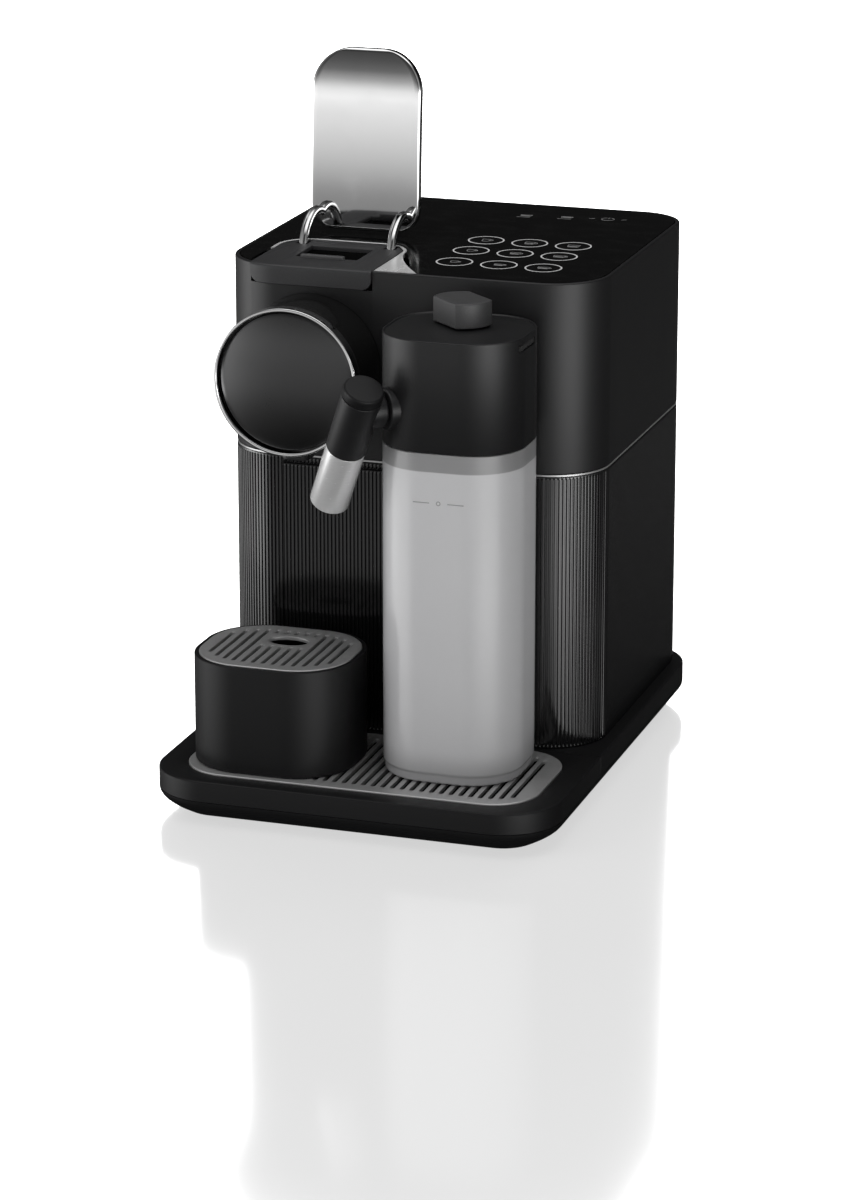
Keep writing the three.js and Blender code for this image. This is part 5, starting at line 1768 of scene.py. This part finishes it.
# ------------------------------------------------------------------------------ stage
# Brightness of the ring of panels by azimuth in degrees, from the front (0) to the right (90), and by
# the sine of the elevation.
RING = [
    (-180, 0.3),
    (-125, 0.25),
    (-100, 1.0),
    (-84, 4.6),
    (-50, 4.2),
    (-34, 0.9),
    (-18, 0.75),
    (8, 0.75),
    (20, 2.0),
    (42, 5.6),
    (62, 5.6),
    (82, 1.0),
    (110, 0.1),
    (168, 0.05),
    (180, 0.3),
]
LIFT = [
    (-1, 0.0),
    (-0.5, 0.02),
    (-0.39, 0.12),
    (-0.325, 0.35),
    (-0.29, 0.62),
    (-0.25, 0.85),
    (-0.21, 0.75),
    (-0.165, 0.3),
    (-0.137, 0.36),
    (-0.11, 0.72),
    (-0.08, 1.0),
    (-0.055, 1.15),
    (-0.037, 1.4),
    (0.0, 1.2),
    (0.04, 0.55),
    (0.08, 0.2),
    (0.13, 0.12),
    (0.2, 0.06),
    (1, 0.04),
]


def outwards(azimuth, elevation):
    """Unit direction from the machine, so far round to the right of the front and so far above level."""
    level = math.cos(elevation)
    return Vector((math.sin(azimuth) * level, -math.cos(azimuth) * level, math.sin(elevation)))


class MACHINE_OT_studio(bpy.types.Operator):
    """Pale floor, soft studio lights and the camera"""

    bl_idname = "machine.studio"
    bl_label = "Studio"

    def execute(self, context):
        studio = context.scene.machine_studio
        look = -outwards(studio.azimuth, studio.elevation)
        target = Vector((-0.006, -0.028, 0.138))
        camera = bpy.data.cameras.new("camera")
        camera.lens = studio.lens
        camera.shift_y = studio.rise
        camera.clip_end = 50
        eye = bpy.data.objects.new("camera", camera)
        context.scene.collection.objects.link(eye)
        eye.matrix_world = Matrix.Translation(target - look * studio.distance) @ self.facing(look)
        context.scene.camera = eye
        context.scene.view_settings.view_transform = "Standard"
        self.backdrop_light(context.scene, self.floor())
        self.world(context.scene)
        for spot in self.softboxes(studio):
            self.softbox(context.scene, *spot)
        return {"FINISHED"}

    def facing(self, look):
        """Turn that points an object's -Z along look and keeps its Y upwards."""
        right = look.cross(Vector((0, 0, 1))).normalized()
        up = right.cross(look)
        return Matrix((right, up, -look)).transposed().to_4x4()

    def sheet(self, name, corners, shader):
        """Flat stage piece through a grid of two by two points."""
        mesh = bpy.data.meshes.new(name)
        flat = skin(np.array(corners, float).reshape(2, 2, 3), around=False)
        mesh.from_pydata(flat.points.tolist(), [], flat.quads.tolist())
        mesh.materials.append(shader.material)
        made = bpy.data.objects.new(name, mesh)
        bpy.context.scene.collection.objects.link(made)
        return made

    def floor(self):
        """Wide pale floor, bright of itself, that mirrors the machine softly."""
        shader = Shader("floor_paint")
        haze = shader.noise(3, 2)
        shader.set(Base_Color=shader.blend(haze, (0.08, 0.08, 0.08), (0.1, 0.1, 0.1)))
        shader.set(Roughness=0.1 + 0.03 * haze, Emission_Color=(1, 1, 1), Emission_Strength=0.62)
        reach = 6.0
        corners = [[-reach, -reach, 0], [reach, -reach, 0], [-reach, reach, 0], [reach, reach, 0]]
        floor = self.sheet("floor", corners, shader)
        floor.visible_glossy = False
        return floor

    def backdrop_light(self, scene, floor):
        """Wide bright panel far behind, which lights the floor alone: the floor mirrors it softly, except
        where the machine stands in between."""
        lamp = bpy.data.lights.new("backdrop_light", "AREA")
        lamp.shape = "RECTANGLE"
        lamp.size = 9.0
        lamp.size_y = 3.6
        lamp.energy = 900.0
        panel = bpy.data.objects.new("backdrop_light", lamp)
        scene.collection.objects.link(panel)
        place = Matrix.Translation((-1.2, 3.6, 1.3))
        panel.matrix_world = place @ self.facing(Vector((0.2, -1, -0.1)).normalized())
        panel.visible_camera = False
        lit = bpy.data.collections.new("lit_by_backdrop")
        lit.objects.link(floor)
        panel.light_linking.receiver_collection = lit

    def ramp(self, shader, value, first, last, stops):
        """Grey from a list of (value, brightness) stops."""
        share = shader.node("ShaderNodeMapRange", {}, {"Value": value, "From Min": first, "From Max": last})
        made = shader.node("ShaderNodeValToRGB", {}, {"Fac": share})
        ramp = made.socket.node.color_ramp
        ramp.interpolation = "LINEAR"
        for place, grey in stops[1:-1]:
            ramp.elements.new((place - first) / (last - first)).color = (grey, grey, grey, 1)
        for element, (_, grey) in ((ramp.elements[0], stops[0]), (ramp.elements[-1], stops[-1])):
            element.color = (grey, grey, grey, 1)
        return made

    def world(self, scene):
        """Pale sky over a ring of soft panels of differing brightness, told apart by their azimuth."""
        sky = Shader("studio", "worlds", "Background")
        way = sky.node("ShaderNodeTexCoord", output="Generated")
        axes = [sky.node("ShaderNodeSeparateXYZ", {}, {0: way}, output=i) for i in range(3)]
        azimuth = sky.node("ShaderNodeMath", {"operation": "ARCTAN2"}, {0: axes[0], 1: 0 - axes[1]})
        ring = self.ramp(sky, azimuth * (180 / math.pi), -180, 180, RING)
        lift = self.ramp(sky, axes[2], -1, 1, LIFT)
        light = ring * lift + axes[2].above(0.8, 0.12) * 1.2
        sky.set(Color=sky.node("ShaderNodeCombineColor", {}, {0: light, 1: light, 2: light}), Strength=1.0)
        scene.world = sky.material

    def softboxes(self, studio):
        """(name, azimuth and elevation in degrees, distance, width, height, power) of each softbox."""
        return [
            ("left_softbox", -50, 30, 1.6, 0.9, 1.2, studio.key_power),
            ("front_softbox", 12, 12, 1.6, 0.9, 1.2, studio.key_power * 0.7),
            ("top_softbox", 10, 80, 1.6, 1.2, 1.2, studio.top_power),
        ]

    def softbox(self, scene, name, azimuth, elevation, distance, width, height, power):
        lamp = bpy.data.lights.new(name, "AREA")
        lamp.shape = "RECTANGLE"
        lamp.size = width
        lamp.size_y = height
        lamp.energy = power
        out = outwards(math.radians(azimuth), math.radians(elevation))
        box = bpy.data.objects.new(name, lamp)
        box.visible_glossy = False
        scene.collection.objects.link(box)
        box.matrix_world = Matrix.Translation(Vector((0, 0, 0.15)) + out * distance) @ self.facing(-out)


# ------------------------------------------------------------------------------ add-on
OPERATORS = (
    MACHINE_OT_studio,
    MACHINE_OT_base,
    MACHINE_OT_drip_grid,
    MACHINE_OT_cup_support,
    MACHINE_OT_lower_shell,
    MACHINE_OT_upper_housing,
    MACHINE_OT_touch_keys,
    MACHINE_OT_capsule_head,
    MACHINE_OT_lever,
    MACHINE_OT_outlet,
    MACHINE_OT_milk_container,
    MACHINE_OT_milk_lid,
    MACHINE_OT_spout,
    MACHINE_OT_water_tank,
    MACHINE_OT_inner_works,
)

GROUPS = {
    "machine_shell": ShellSizes,
    "machine_grille": GrilleSizes,
    "machine_keys": KeySizes,
    "machine_finishes": Finishes,
    "machine_studio": StudioSettings,
}


class MACHINE_PT_sidebar(bpy.types.Panel):
    """Lists the machine's pieces and their sizes"""

    bl_idname = "MACHINE_PT_sidebar"
    bl_label = "Coffee Machine"
    bl_space_type = "VIEW_3D"
    bl_region_type = "UI"
    bl_category = "Coffee Machine"

    def draw(self, context):
        for operator in OPERATORS:
            self.layout.operator(operator.bl_idname)
        for name, group in GROUPS.items():
            box = self.layout.box()
            for key in group.__annotations__:
                box.prop(getattr(context.scene, name), key)


def register():
    for group in GROUPS.values():
        bpy.utils.register_class(group)
    for operator in OPERATORS:
        bpy.utils.register_class(operator)
    bpy.utils.register_class(MACHINE_PT_sidebar)
    for name, group in GROUPS.items():
        setattr(bpy.types.Scene, name, bpy.props.PointerProperty(type=group))


def unregister():
    for name in GROUPS:
        delattr(bpy.types.Scene, name)
    bpy.utils.unregister_class(MACHINE_PT_sidebar)
    for operator in reversed(OPERATORS):
        bpy.utils.unregister_class(operator)
    for group in GROUPS.values():
        bpy.utils.unregister_class(group)


def main():
    register()
    for operator in OPERATORS:
        name = operator.bl_idname.split(".")[1]
        getattr(bpy.ops.machine, name)()


if __name__ == "__main__":
    main()
